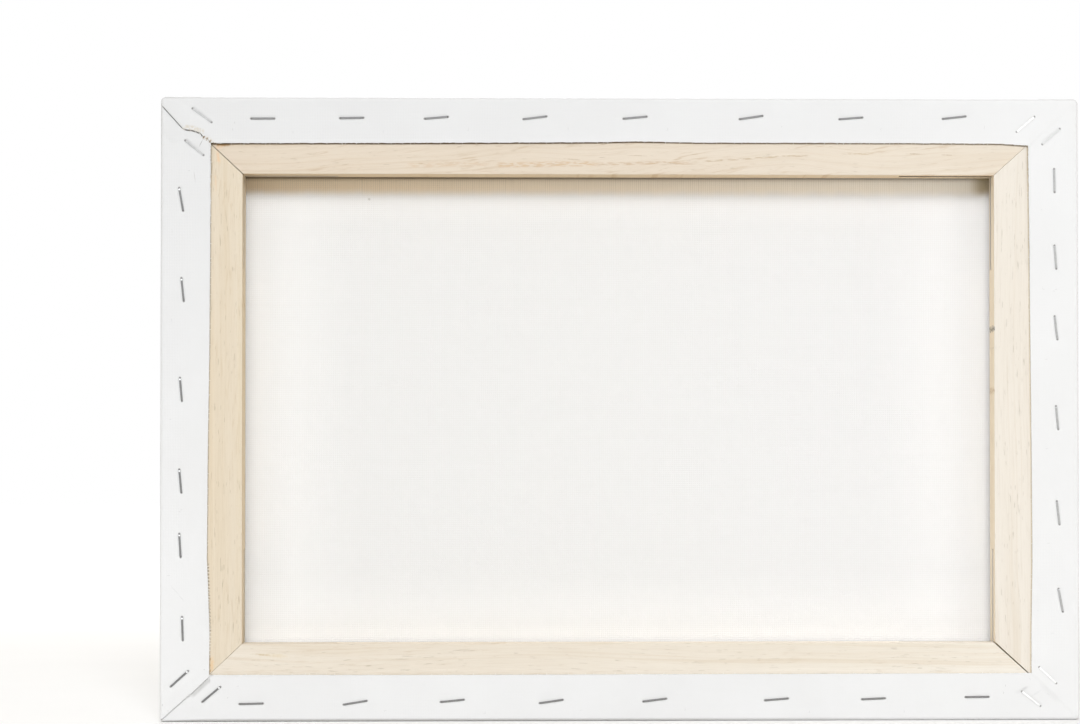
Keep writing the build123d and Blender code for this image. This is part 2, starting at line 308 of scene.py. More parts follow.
def side_points(x, z, e, off, height=None):
    """Points of the sides: (x, z) on the sharp outline, e down from the back edge."""
    back = e <= DEPTH / 2
    ib, db, tb = bend(e, BACK_R)
    if_, df, tf = bend(DEPTH - e, FRONT_R)
    inset, t = np.where(back, ib, if_), np.where(back, tb, tf)
    y = np.where(back, HALF_T - db, -HALF_T + df)
    face = np.where(back, 1.0, -1.0)
    px, pz, nx, nz = ring_place(x, z, inset)
    n = np.stack([nx * np.sin(t), face * np.cos(t), nz * np.sin(t)], -1)
    n /= np.linalg.norm(n, axis=-1, keepdims=True)
    p = np.stack([px, y, pz], -1)
    h = off + (0 if height is None else height)
    return p + n * (np.asarray(h)[..., None] if np.ndim(h) else h)


class Cloth:
    def __init__(self):
        self.co, self.uv, self.faces, self.mat, self.count = [], [], [], [], 0
        self.fold, self.pin = [], []

    def add(self, p, uv, fold=None, pin=None):
        n = p.reshape(-1, 3).shape[0]
        self.fold.append(np.tile([20.0, 0.0, 0.0], (n, 1)) if fold is None else fold.reshape(-1, 3))
        self.pin.append(np.tile([20.0, 20.0, 20.0], (n, 1)) if pin is None else pin.reshape(-1, 3))
        ids = np.arange(self.count, self.count + p.reshape(-1, 3).shape[0]).reshape(p.shape[:-1])
        self.co.append(p.reshape(-1, 3))
        self.uv.append(uv.reshape(-1, 2))
        self.count += ids.size
        return ids

    def grid(self, ids, mat=0, wrap=False):
        if wrap:
            ids = np.concatenate([ids, ids[:1]], 0)
        q = np.stack([ids[:-1, :-1], ids[1:, :-1], ids[1:, 1:], ids[:-1, 1:]], -1).reshape(-1, 4)
        self.faces += q.tolist()
        self.mat += [mat] * len(q)

    def zip(self, a, ta, b, tb, mat=0):
        i = j = 0
        while i < len(a) - 1 or j < len(b) - 1:
            if j == len(b) - 1 or (i < len(a) - 1 and ta[i + 1] <= tb[j + 1]):
                self.faces.append([int(a[i]), int(a[i + 1]), int(b[j])])
                i += 1
            else:
                self.faces.append([int(a[i]), int(b[j + 1]), int(b[j])])
                j += 1
            self.mat.append(mat)


def lines(lo, hi, base, fine, spots, reach):
    """Grid lines from lo to hi: base apart, and fine apart near the spots."""
    out, t = [lo], lo
    spots = np.array(spots, float)
    while t < hi:
        d = np.abs(spots - t).min() if len(spots) else 1e9
        t += fine + (base - fine) * float(step(np.array(d), reach, reach + 6.0))
        out.append(t)
    out = np.array(out)
    return lo + (out - lo) * (hi - lo) / (out[-1] - lo)


def ragged(n, seed, size):
    """Small in-plane raggedness of the cut edge, mm."""
    rng = np.random.default_rng(seed)
    return rng.uniform(-size, size, n)


def corner_points():
    return {
        (1, 1): (WIDTH / 2 - 200.5, HEIGHT - 282.3),
        (-1, 1): (WIDTH / 2 - 200.2, HEIGHT - 282.0),
        (-1, -1): (WIDTH / 2 - 201.3, 23.1),
        (1, -1): (WIDTH / 2 - 200.8, 22.8),
    }


GAP = 0.45


def build_surface(mesh, off, corner_step, base, fine, rows, jag, mat, heights):
    """One side of the cloth on the back: four corner blocks, four flaps, and strips between. Returns its outline and cut-edge loops."""
    cp = corner_points()
    hfun = (lambda x, z: back_height(x, z)) if heights else None

    def place(x, z):
        h = hfun(x, z) if hfun else None
        if mat:
            return mesh.add(face_points(x, z, off, 1, h), np.stack([x, z], -1))
        return mesh.add(face_points(x, z, off, 1, h), np.stack([x, z], -1), fold_mark(x, z), staple_mark(x, z))

    blocks = {}
    for (sx, sz), (A, B) in cp.items():
        s = corner_step[(sx, sz)]
        na, nb = max(4, round(A / s)), max(4, round(B / s))
        a, b = np.linspace(0, A, na + 1), np.linspace(0, B, nb + 1)
        aa, bb = np.meshgrid(a, b, indexing="ij")
        x = sx * (WIDTH / 2 - aa)
        z = HEIGHT - bb if sz > 0 else bb
        ids = place(x, z)
        mesh.grid(ids, mat)
        blocks[(sx, sz)] = (ids, a, b)
    legs = []  # each leg runs clockwise seen from +Y looking at -Y: top from +x to -x, then down, back and up
    spec = [
        ("top", (1, 1), (-1, 1), EDGE_TOP, 0, ROW_TOP),
        ("left", (-1, 1), (-1, -1), EDGE_LEFT, 1, ROW_LEFT),
        ("bottom", (-1, -1), (1, -1), EDGE_BOTTOM, 0, ROW_BOTTOM),
        ("right", (1, -1), (1, 1), EDGE_RIGHT, 1, ROW_RIGHT),
    ]
    for n, (name, c0, c1, edge, axis, row) in enumerate(spec):
        A0, B0 = cp[c0]
        A1, B1 = cp[c1]
        if axis == 0:
            start, end = c0[0] * (WIDTH / 2 - A0 - GAP), c1[0] * (WIDTH / 2 - A1 - GAP)
        else:
            start = (HEIGHT - B0 - GAP) if c0[1] > 0 else (B0 + GAP)
            end = (HEIGHT - B1 - GAP) if c1[1] > 0 else (B1 + GAP)
        lo, hi = min(start, end), max(start, end)
        spots = []
        for cx, cz, turn in row + (CORNERS if heights else []):
            if (name == "top" and cz < 250) or (name == "bottom" and cz > 50) or (name == "left" and cx > 0) or (name == "right" and cx < 0):
                continue
            c = cx if axis == 0 else cz
            spots += [c - 4, c, c + 4] if lo - 8 < c < hi + 8 else []
        t = lines(lo, hi, base, fine, spots, 3.0)
        if start > end:
            t = t[::-1]
        f = rows
        tt, ff = np.meshgrid(t, f, indexing="ij")
        far = along(edge, tt, axis)
        if axis == 0:
            x = tt
            out = HEIGHT if name == "top" else 0.0
            z = out + ff * (far - out)
            z = z + (ff > 0.999) * (ragged(len(t), 50 + n, jag)[:, None])
        else:
            z = tt
            out = -WIDTH / 2 if name == "left" else WIDTH / 2
            x = out + ff * (far - out)
            x = x + (ff > 0.999) * (ragged(len(t), 50 + n, jag)[:, None])
        ids = place(x, z)
        mesh.grid(ids, mat)
        legs.append((name, c0, c1, ids, t, f, axis))
    # strips between a corner block and the flaps beside it
    outline, cut, opar, cpar = [], [], [], []
    for name, c0, c1, ids, t, f, axis in legs:
        for c, column, first in ((c0, ids[0], True), (c1, ids[-1], False)):
            block, a, b = blocks[c]
            if axis == 0:
                side, par = block[-1, :], b / b[-1]
            else:
                side, par = block[:, -1], a / a[-1]
            mesh.zip(list(side), list(par), list(column), list(f), mat)
    for name, c0, c1, ids, t, f, axis in legs:
        block, a, b = blocks[c0]
        # the corner block's two outline runs: end of the leg before, then start of this one
        if axis == 0:  # arriving along a side, then turning onto a rail
            run1 = [(int(block[0, j]), c0, "side", b[j]) for j in range(len(b) - 1, 0, -1)]
            run2 = [(int(block[i, 0]), c0, "rail", a[i]) for i in range(0, len(a))]
        else:
            run1 = [(int(block[i, 0]), c0, "rail", a[i]) for i in range(len(a) - 1, 0, -1)]
            run2 = [(int(block[0, j]), c0, "side", b[j]) for j in range(0, len(b))]
        for vid, c, kind, d in run1 + run2:
            x = c[0] * (WIDTH / 2 - (d if kind == "rail" else 0))
            z = (HEIGHT if c[1] > 0 else 0) - c[1] * (d if kind == "side" else 0)
            outline.append((vid, x, z))
        cut.append((int(block[-1, -1]), c0[0] * (WIDTH / 2 - a[-1]), (HEIGHT - b[-1]) if c0[1] > 0 else b[-1]))
        for i in range(len(t)):
            x = t[i] if axis == 0 else (-WIDTH / 2 if name == "left" else WIDTH / 2)
            z = t[i] if axis == 1 else (HEIGHT if name == "top" else 0.0)
            outline.append((int(ids[i, 0]), x, z))
            e = along({"top": EDGE_TOP, "left": EDGE_LEFT, "bottom": EDGE_BOTTOM, "right": EDGE_RIGHT}[name], np.array([t[i]]), axis)[0]
            cut.append((int(ids[i, -1]), t[i] if axis == 0 else e, t[i] if axis == 1 else e))
    return outline, cut


def perimeter(x, z):
    """Distance round the outline from the corner (+, top), through the top, left, bottom and right sides."""
    x, z = np.asarray(x, float), np.asarray(z, float)
    ex, ez = WIDTH / 2 - np.abs(x), HEIGHT / 2 - np.abs(z - HEIGHT / 2)
    rail = ez < ex - 1e-9
    top, left = z > HEIGHT / 2, x < 0
    p = np.where(rail & top, WIDTH / 2 - x, 0.0)
    p = np.where(~rail & left, WIDTH + HEIGHT - z, p)
    p = np.where(rail & ~top, WIDTH + HEIGHT + x + WIDTH / 2, p)
    p = np.where(~rail & ~left, 2 * WIDTH + HEIGHT + z, p)
    return p


PERIM = 2 * (WIDTH + HEIGHT)


def outline_at(p):
    """Sharp outline point at perimeter distance p."""
    p = np.mod(p, PERIM)
    x = np.where(p < WIDTH, WIDTH / 2 - p, np.where(p < WIDTH + HEIGHT, -WIDTH / 2, np.where(p < 2 * WIDTH + HEIGHT, p - WIDTH - HEIGHT - WIDTH / 2, WIDTH / 2)))
    z = np.where(p < WIDTH, HEIGHT, np.where(p < WIDTH + HEIGHT, HEIGHT - (p - WIDTH), np.where(p < 2 * WIDTH + HEIGHT, 0.0, p - 2 * WIDTH - HEIGHT)))
    return x, z


def shift_in(x, z, m):
    """The sharp point that is m inside the outline point (x, z), with the run along each side shortened to fit."""
    cx, cz = 0.0, HEIGHT / 2
    hx, hz = WIDTH / 2, HEIGHT / 2
    return cx + (x - cx) * (hx - m) / hx, cz + (z - cz) * (hz - m) / hz


def side_uv(x, z, e):
    ex, ez = WIDTH / 2 - np.abs(x), HEIGHT / 2 - np.abs(z - HEIGHT / 2)
    rail = ez < ex
    u = np.where(rail, x, np.sign(x) * (WIDTH / 2 + e))
    v = np.where(rail, np.where(z > HEIGHT / 2, HEIGHT + e, -e), z)
    return np.stack([u, v], -1)


def closed(loop):
    return list(loop) + [loop[0]]


def rotate_to(ids, par):
    """Starts a loop at its smallest parameter."""
    par = np.asarray(par, float)
    k = int(np.argmin(par))
    ids, par = list(ids[k:]) + list(ids[:k]), np.concatenate([par[k:], par[:k]])
    if par[1] > par[-1] and par[-1] - par[1] < -PERIM / 2:
        pass
    return ids, par


def build_rest(mesh, outline, off, side_par, e_rows, front_m, grid_step, mat, heights):
    """From the outline of the back, over the sides, to the front face."""
    ids0 = [o[0] for o in outline]
    ox, oz = np.array([o[1] for o in outline]), np.array([o[2] for o in outline])
    par0 = np.array(perimeter_of_outline(ox, oz))
    # one more fine row on the side, then a strip to the side's own loop
    e = np.full(ox.shape, BACK_R)
    h = side_height(ox, oz, e) if heights else None
    row1 = mesh.add(side_points(ox, oz, e, off, h), side_uv(ox, oz, e))
    half = np.full(ox.shape, BACK_R * 0.45)
    h = side_height(ox, oz, half) if heights else None
    row0 = mesh.add(side_points(ox, oz, half, off, h), side_uv(ox, oz, half))
    mesh.grid(np.stack([np.array(ids0), row0, row1], 1), mat, wrap=True)
    sx, sz = outline_at(side_par)
    rows = []
    for ev in e_rows:
        e = np.full(sx.shape, ev)
        h = side_height(sx, sz, e) if heights else None
        rows.append(mesh.add(side_points(sx, sz, e, off, h), side_uv(sx, sz, e)))
    a, ta = rotate_to(list(row1), par0)
    b, tb = list(rows[0]), side_par
    mesh.zip(a + [a[0]], list(ta) + [ta[0] + PERIM], b + [b[0]], list(tb) + [tb[0] + PERIM], mat)
    mesh.grid(np.stack(rows, 1), mat, wrap=True)
    ring = [rows[-1]]
    for m in front_m:
        x, z = shift_in(sx, sz, m)
        ring.append(mesh.add(face_points(x, z, off, -1), np.stack([x, z], -1)))
    mesh.grid(np.stack(ring, 1), mat, wrap=True)
    # the flat front
    m = front_m[-1] + 3.0
    nx, nz = round((WIDTH - 2 * m) / grid_step), round((HEIGHT - 2 * m) / grid_step)
    gx, gz = np.linspace(WIDTH / 2 - m, -WIDTH / 2 + m, nx + 1), np.linspace(HEIGHT - m, m, nz + 1)
    xx, zz = np.meshgrid(gx, gz, indexing="ij")
    wave = 0.06 * value_noise(xx / 60.0, zz / 50.0, 41) * step(np.minimum(WIDTH / 2 - np.abs(xx), HEIGHT / 2 - np.abs(zz - HEIGHT / 2)), 8, 40)
    ids = mesh.add(face_points(xx, zz, off, -1, wave), np.stack([xx, zz], -1))
    mesh.grid(ids, mat)
    loop = [(ids[i, 0], xx[i, 0], zz[i, 0]) for i in range(nx)]
    loop += [(ids[nx, j], xx[nx, j], zz[nx, j]) for j in range(nz)]
    loop += [(ids[i, nz], xx[i, nz], zz[i, nz]) for i in range(nx, 0, -1)]
    loop += [(ids[0, j], xx[0, j], zz[0, j]) for j in range(nz, 0, -1)]
    k = (WIDTH / 2) / (WIDTH / 2 - m), (HEIGHT / 2) / (HEIGHT / 2 - m)
    lp = perimeter_of_outline(np.array([l[1] for l in loop]) * k[0], (np.array([l[2] for l in loop]) - HEIGHT / 2) * k[1] + HEIGHT / 2)
    a = list(ring[-1])
    mesh.zip(a + [a[0]], list(side_par) + [side_par[0] + PERIM], [int(l[0]) for l in loop] + [int(loop[0][0])], list(lp) + [lp[0] + PERIM], mat)


def perimeter_of_outline(x, z):
    """Perimeter distance of points that lie on the sharp outline, growing along the list."""
    out, last = [], -1.0
    for a, b in zip(x, z):
        if abs(b - HEIGHT) < 1e-6 and a > -WIDTH / 2 + 1e-9:
            p = WIDTH / 2 - a
        elif abs(a + WIDTH / 2) < 1e-6 and b > 1e-9:
            p = WIDTH + HEIGHT - b
        elif abs(b) < 1e-6 and a < WIDTH / 2 - 1e-9:
            p = WIDTH + HEIGHT + a + WIDTH / 2
        else:
            p = 2 * WIDTH + HEIGHT + b
        out.append(p)
    return np.array(out)


def make_canvas():
    mesh = Cloth()
    fine = {(1, 1): 0.30, (1, -1): 0.30, (-1, 1): 0.62, (-1, -1): 0.62}
    rows = np.array([0, 0.03, 0.07, 0.12, 0.18, 0.25, 0.31, 0.35, 0.38, 0.405, 0.43, 0.455, 0.48, 0.51, 0.55, 0.60, 0.66, 0.72, 0.78, 0.83, 0.87, 0.905, 0.935, 0.96, 0.985, 1.0])
    outline, cut = build_surface(mesh, 0.0, fine, 2.4, 0.72, rows, 0.13, 0, True)
    spacing = np.concatenate([np.arange(0, 26, 0.55), np.linspace(26, 130, 27)])
    side = []
    for start, length in ((0, WIDTH), (WIDTH, HEIGHT), (WIDTH + HEIGHT, WIDTH), (2 * WIDTH + HEIGHT, HEIGHT)):
        head = spacing[spacing < length / 2 - 3]
        tail = length - head[::-1]
        side += list(start + np.concatenate([head, [length / 2], tail]))[:-1]
    side = np.array(side)
    e_rows = [2.4, 3.8, 5.6, 7.6, 9.6, 11.6, 13.4, 15.0, 16.2, 17.0, 17.7, 18.3, 18.8, 19.2]
    build_rest(mesh, outline, 0.0, side, e_rows, [0.6, 1.2, 1.9, 2.7, 4.2], 6.0, 0, True)
    # the inner, unprimed side
    coarse = {k: 1.6 for k in fine}
    in_rows = np.array([0, 0.10, 0.25, 0.42, 0.58, 0.70, 0.80, 0.87, 0.92, 0.96, 1.0])
    outline_i, cut_i = build_surface(mesh, -CLOTH, coarse, 3.0, 3.0, in_rows, 0.0, 1, True)
    side_i = []
    spacing_i = np.concatenate([np.arange(0, 20, 2.5), np.linspace(20, 130, 22)])
    for start, length in ((0, WIDTH), (WIDTH, HEIGHT), (WIDTH + HEIGHT, WIDTH), (2 * WIDTH + HEIGHT, HEIGHT)):
        head = spacing_i[spacing_i < length / 2 - 3]
        tail = length - head[::-1]
        side_i += list(start + np.concatenate([head, [length / 2], tail]))[:-1]
    build_rest(mesh, outline_i, -CLOTH, np.array(side_i), [3.5, 8.0, 13.0, 16.5, 18.0, 19.2], [1.3, 2.6, 6.0], 4.5, 1, False)

    # the cut edge joins the two sides
    def cut_param(cut):
        x, z = np.array([c[1] for c in cut]), np.array([c[2] for c in cut])
        ang = []
        for (_, a, b) in cut:
            ang.append((a, b))
        a = np.array(ang)
        # scaled to the unit square's perimeter, corner (+, top) first
        u, v = a[:, 0] / 200.8, (a[:, 1] - 152.7) / 130.0
        p = np.where(np.abs(v) >= np.abs(u) * 1.0, np.where(v > 0, 1 - u, 5 + u), np.where(u < 0, 3 - v, 7 + v))
        return p

    po, pi = cut_param(cut), cut_param(cut_i)
    ids_o, ids_i = [c[0] for c in cut], [c[0] for c in cut_i]
    po, pi = po.copy(), pi.copy()
    po[0] = pi[0] = 0.0
    po, pi = np.maximum.accumulate(po), np.maximum.accumulate(pi)
    mesh.zip(ids_o + [ids_o[0]], list(po) + [8.0], ids_i + [ids_i[0]], list(pi) + [8.0], 1)

    data = bpy.data.meshes.new("canvas_wrap")
    co = np.concatenate(mesh.co) * MM
    data.from_pydata(co.tolist(), [], mesh.faces)
    data.polygons.foreach_set("material_index", np.array(mesh.mat, np.int32))
    weave = data.attributes.new("weave", "FLOAT_VECTOR", "POINT")
    uv = np.concatenate(mesh.uv)
    weave.data.foreach_set("vector", np.concatenate([uv, np.zeros((len(uv), 1))], 1).astype(np.float32).ravel() * MM)
    for key, marks in (("fold", mesh.fold), ("pin", mesh.pin)):
        layer = data.attributes.new(key, "FLOAT_VECTOR", "POINT")
        layer.data.foreach_set("vector", np.concatenate(marks).astype(np.float32).ravel())
    data.update()
    bm = bmesh.new()
    bm.from_mesh(data)
    bmesh.ops.recalc_face_normals(bm, faces=bm.faces)
    open_edges = sum(1 for e in bm.edges if len(e.link_faces) != 2)
    print("canvas: faces", len(bm.faces), "triangles", sum(len(f.verts) - 2 for f in bm.faces), "open edges", open_edges)
    bm.to_mesh(data)
    bm.free()
    data.polygons.foreach_set("use_smooth", np.ones(len(data.polygons), bool))
    data.update()
    obj = bpy.data.objects.new("canvas_wrap", data)
    scene.collection.objects.link(obj)
    return obj, cut


canvas, cut_loop = make_canvas()
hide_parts("canvas")
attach(canvas, "root")


# ------------------------------------------------------------------ threads at the cut edge
def tube(verts, faces, line, r0, r1, sides=5):
    line = [np.array(p, float) for p in line]
    base = len(verts)
    for k, p in enumerate(line):
        d = line[min(k + 1, len(line) - 1)] - line[max(k - 1, 0)]
        d = d / np.linalg.norm(d)
        side = np.cross(d, [0.0, 1.0, 0.0] if abs(d[1]) < 0.9 else [1.0, 0.0, 0.0])
        side /= np.linalg.norm(side)
        other = np.cross(d, side)
        r = r0 + (r1 - r0) * k / (len(line) - 1)
        for i in range(sides):
            a = 2 * math.pi * i / sides
            verts.append(p + r * (math.cos(a) * side + math.sin(a) * other))
    for k in range(len(line) - 1):
        for i in range(sides):
            j = (i + 1) % sides
            faces.append([base + k * sides + i, base + k * sides + j, base + (k + 1) * sides + j, base + (k + 1) * sides + i])
    faces.append([base + i for i in range(sides)][::-1])
    faces.append([base + (len(line) - 1) * sides + i for i in range(sides)])


def make_threads():
    rng = np.random.default_rng(7)
    verts, faces = [], []
    legs = (("top", EDGE_TOP, 0, (0, -1)), ("left", EDGE_LEFT, 1, (1, 0)), ("bottom", EDGE_BOTTOM, 0, (0, 1)), ("right", EDGE_RIGHT, 1, (-1, 0)))
    for name, edge, axis, inward in legs:
        lo, hi = min(p[axis] for p in edge) + 1.0, max(p[axis] for p in edge) - 1.0
        t = lo
        while t < hi:
            frayed = name == "right" and 26.4 < t < 75.4
            t += rng.uniform(1.3, 1.9) if frayed else rng.uniform(1.6, 7.5)
            if t >= hi:
                break
            reach = rng.uniform(0.45, 0.85) if frayed else rng.uniform(0.2, 0.75)
            radius = rng.uniform(0.15, 0.21) if frayed else rng.uniform(0.09, 0.16)
            e = float(along(edge, np.array([t]), axis)[0])
            p = np.array([t, e] if axis == 0 else [e, t], float)
            inw = np.array(inward, float)
            tan = np.array([inw[1], inw[0]]) * rng.uniform(-0.5, 0.5)
            h = float(back_height(np.array([p[0] - inw[0] * 0.6]), np.array([p[1] - inw[1] * 0.6]))[0])
            y0 = HALF_T - 0.3 + h * 0.8
            pts = []
            for k in range(4):
                q = k / 3
                d = -0.35 + (reach + 0.35) * q
                s = p + inw * d + tan * q * reach
                pts.append([s[0], max(y0 - 0.35 * q * q * rng.uniform(0.3, 1.2), 9.0 + radius * 0.9), s[1]])
            tube(verts, faces, pts, radius, radius * 0.6)
    # loose ends where the folded corner stops short of the wood
    corner = [
        ([(20.9, 20.2), (22.0, 20.7), (23.0, 20.6)], 0.24), ([(22.2, 19.8), (22.7, 21.0), (22.6, 22.0)], 0.22),
        ([(23.4, 20.2), (24.0, 21.2), (24.4, 22.3)], 0.24), ([(24.6, 20.9), (25.2, 22.0), (25.9, 22.6)], 0.20),
        ([(25.0, 22.1), (26.2, 22.5), (27.5, 22.4)], 0.20), ([(26.4, 21.9), (27.8, 22.6), (29.6, 22.7)], 0.16),
        ([(13.2, 15.7), (14.4, 16.5), (15.3, 16.9)], 0.16), ([(15.8, 16.2), (16.9, 17.1), (17.6, 17.8)], 0.15),
        ([(18.4, 17.0), (19.3, 18.2), (19.8, 19.1)], 0.16), ([(20.4, 19.0), (20.3, 20.3), (19.9, 21.4)], 0.15),
    ]
    for line, r in corner:
        pts = [[WIDTH / 2 - a, HALF_T + 0.28 - 0.22 * k, HEIGHT - b] for k, (a, b) in enumerate(line)]
        tube(verts, faces, pts, r, r * 0.6, 6)
    data = bpy.data.meshes.new("canvas_threads")
    data.from_pydata((np.array(verts) * MM).tolist(), [], faces)
    data.polygons.foreach_set("use_smooth", np.ones(len(data.polygons), bool))
    data.update()
    obj = bpy.data.objects.new("canvas_threads", data)
    scene.collection.objects.link(obj)
    return obj


threads = make_threads()
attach(threads, "root")


# ------------------------------------------------------------------ materials
class Graph:
    """A few short ways to say shader nodes."""

    def __init__(self, name):
        self.mat = bpy.data.materials.new(name)
        self.mat.use_nodes = True
        self.t = self.mat.node_tree
        self.t.nodes.clear()
        self.out = self.t.nodes.new("ShaderNodeOutputMaterial")

    def put(self, socket, value):
        if hasattr(value, "is_output"):
            self.t.links.new(value, socket)
        elif value is not None:
            if hasattr(socket, "default_value") and hasattr(socket.default_value, "__len__") and len(socket.default_value) == 4 and hasattr(value, "__len__") and len(value) == 3:
                value = (*value, 1.0)
            socket.default_value = value

    def node(self, kind, **props):
        n = self.t.nodes.new(kind)
        for k, v in props.items():
            setattr(n, k, v)
        return n

    def m(self, op, a, b=None, c=None, clamp=False):
        n = self.node("ShaderNodeMath", operation=op, use_clamp=clamp)
        self.put(n.inputs[0], a)
        self.put(n.inputs[1], b)
        self.put(n.inputs[2], c)
        return n.outputs[0]

    def object(self):
        c = self.node("ShaderNodeTexCoord")
        s = self.node("ShaderNodeSeparateXYZ")
        self.t.links.new(c.outputs["Object"], s.inputs[0])
        return s.outputs

    def attribute(self, name):
        a = self.node("ShaderNodeAttribute", attribute_name=name, attribute_type="GEOMETRY")
        s = self.node("ShaderNodeSeparateXYZ")
        self.t.links.new(a.outputs["Vector"], s.inputs[0])
        return s.outputs

    def vec(self, x, y, z):
        n = self.node("ShaderNodeCombineXYZ")
        for i, v in enumerate((x, y, z)):
            self.put(n.inputs[i], v)
        return n.outputs[0]

    def noise(self, vector, scale=1.0, detail=2.0, rough=0.5, distortion=0.0):
        n = self.node("ShaderNodeTexNoise", noise_dimensions="3D")
        self.put(n.inputs["Vector"], vector)
        n.inputs["Scale"].default_value = scale
        n.inputs["Detail"].default_value = detail
        n.inputs["Roughness"].default_value = rough
        n.inputs["Distortion"].default_value = distortion
        return n.outputs["Fac"]

    def ramp(self, fac, lo, hi, to_lo=0.0, to_hi=1.0, smooth=True):
        n = self.node("ShaderNodeMapRange", interpolation_type="SMOOTHSTEP" if smooth else "LINEAR", clamp=True)
        self.put(n.inputs["Value"], fac)
        n.inputs["From Min"].default_value, n.inputs["From Max"].default_value = lo, hi
        n.inputs["To Min"].default_value, n.inputs["To Max"].default_value = to_lo, to_hi
        return n.outputs["Result"]

    def polyline(self, t, points):
        """Piecewise straight function of t through points given in mm."""
        points = sorted(points)
        out = points[0][1] * MM
        for (t0, v0), (t1, v1) in zip(points[:-1], points[1:]):
            out = self.m("ADD", self.ramp(t, t0 * MM, t1 * MM, 0.0, (v1 - v0) * MM, smooth=False), out)
        return out

    def mix(self, fac, a, b, mode="MIX"):
        n = self.node("ShaderNodeMix", data_type="RGBA", blend_type=mode, clamp_factor=True)
        self.put(n.inputs[0], fac)
        self.put(n.inputs[6], a)
        self.put(n.inputs[7], b)
        return n.outputs[2]

    def spot(self, o, cx, cz, rx, rz, turn=0.0, edge=0.6, wobble=None):
        """1 inside an ellipse at (cx, cz) mm on the face, 0 outside."""
        t = math.radians(turn)
        dx = self.m("SUBTRACT", o[0], cx * MM)
        dz = self.m("SUBTRACT", o[2], cz * MM)
        u = self.m("ADD", self.m("MULTIPLY", dx, math.cos(t) / (rx * MM)), self.m("MULTIPLY", dz, math.sin(t) / (rx * MM)))
        v = self.m("ADD", self.m("MULTIPLY", dx, -math.sin(t) / (rz * MM)), self.m("MULTIPLY", dz, math.cos(t) / (rz * MM)))
        d = self.m("SQRT", self.m("ADD", self.m("MULTIPLY", u, u), self.m("MULTIPLY", v, v)))
        if wobble is not None:
            d = self.m("ADD", d, self.m("MULTIPLY_ADD", wobble, 1.2, -0.6))
        return self.ramp(d, 1.0, edge, 0.0, 1.0)

    def surface(self, color, rough, height=None, distance=0.0002, metallic=0.0, strength=1.0, **more):
        b = self.node("ShaderNodeBsdfPrincipled")
        self.put(b.inputs["Base Color"], color)
        self.put(b.inputs["Roughness"], rough)
        b.inputs["Metallic"].default_value = metallic
        for k, v in more.items():
            self.put(b.inputs[k.replace("_", " ")], v)
        if height is not None:
            bump = self.node("ShaderNodeBump")
            bump.inputs["Distance"].default_value = distance
            bump.inputs["Strength"].default_value = strength
            self.t.links.new(height, bump.inputs["Height"])
            self.t.links.new(bump.outputs[0], b.inputs["Normal"])
        self.t.links.new(b.outputs[0], self.out.inputs[0])
        return self.mat


def weave_height(g, u, v, pitch_u, pitch_v, wobble):
    """Plain weave: a rounded bump over each crossing, threads uneven along their length."""
    uu = g.m("ADD", g.m("MULTIPLY", u, 1.0 / (pitch_u * MM)), g.m("MULTIPLY", wobble[0], 1.0))
    vv = g.m("ADD", g.m("MULTIPLY", v, 1.0 / (pitch_v * MM)), g.m("MULTIPLY", wobble[1], 1.0))
    su = g.m("SINE", g.m("MULTIPLY", uu, math.pi))
    sv = g.m("SINE", g.m("MULTIPLY", vv, math.pi))
    over = g.m("MULTIPLY", su, sv)
    return g.m("POWER", g.m("ABSOLUTE", over), 0.6), g.m("ABSOLUTE", su), g.m("ABSOLUTE", sv)


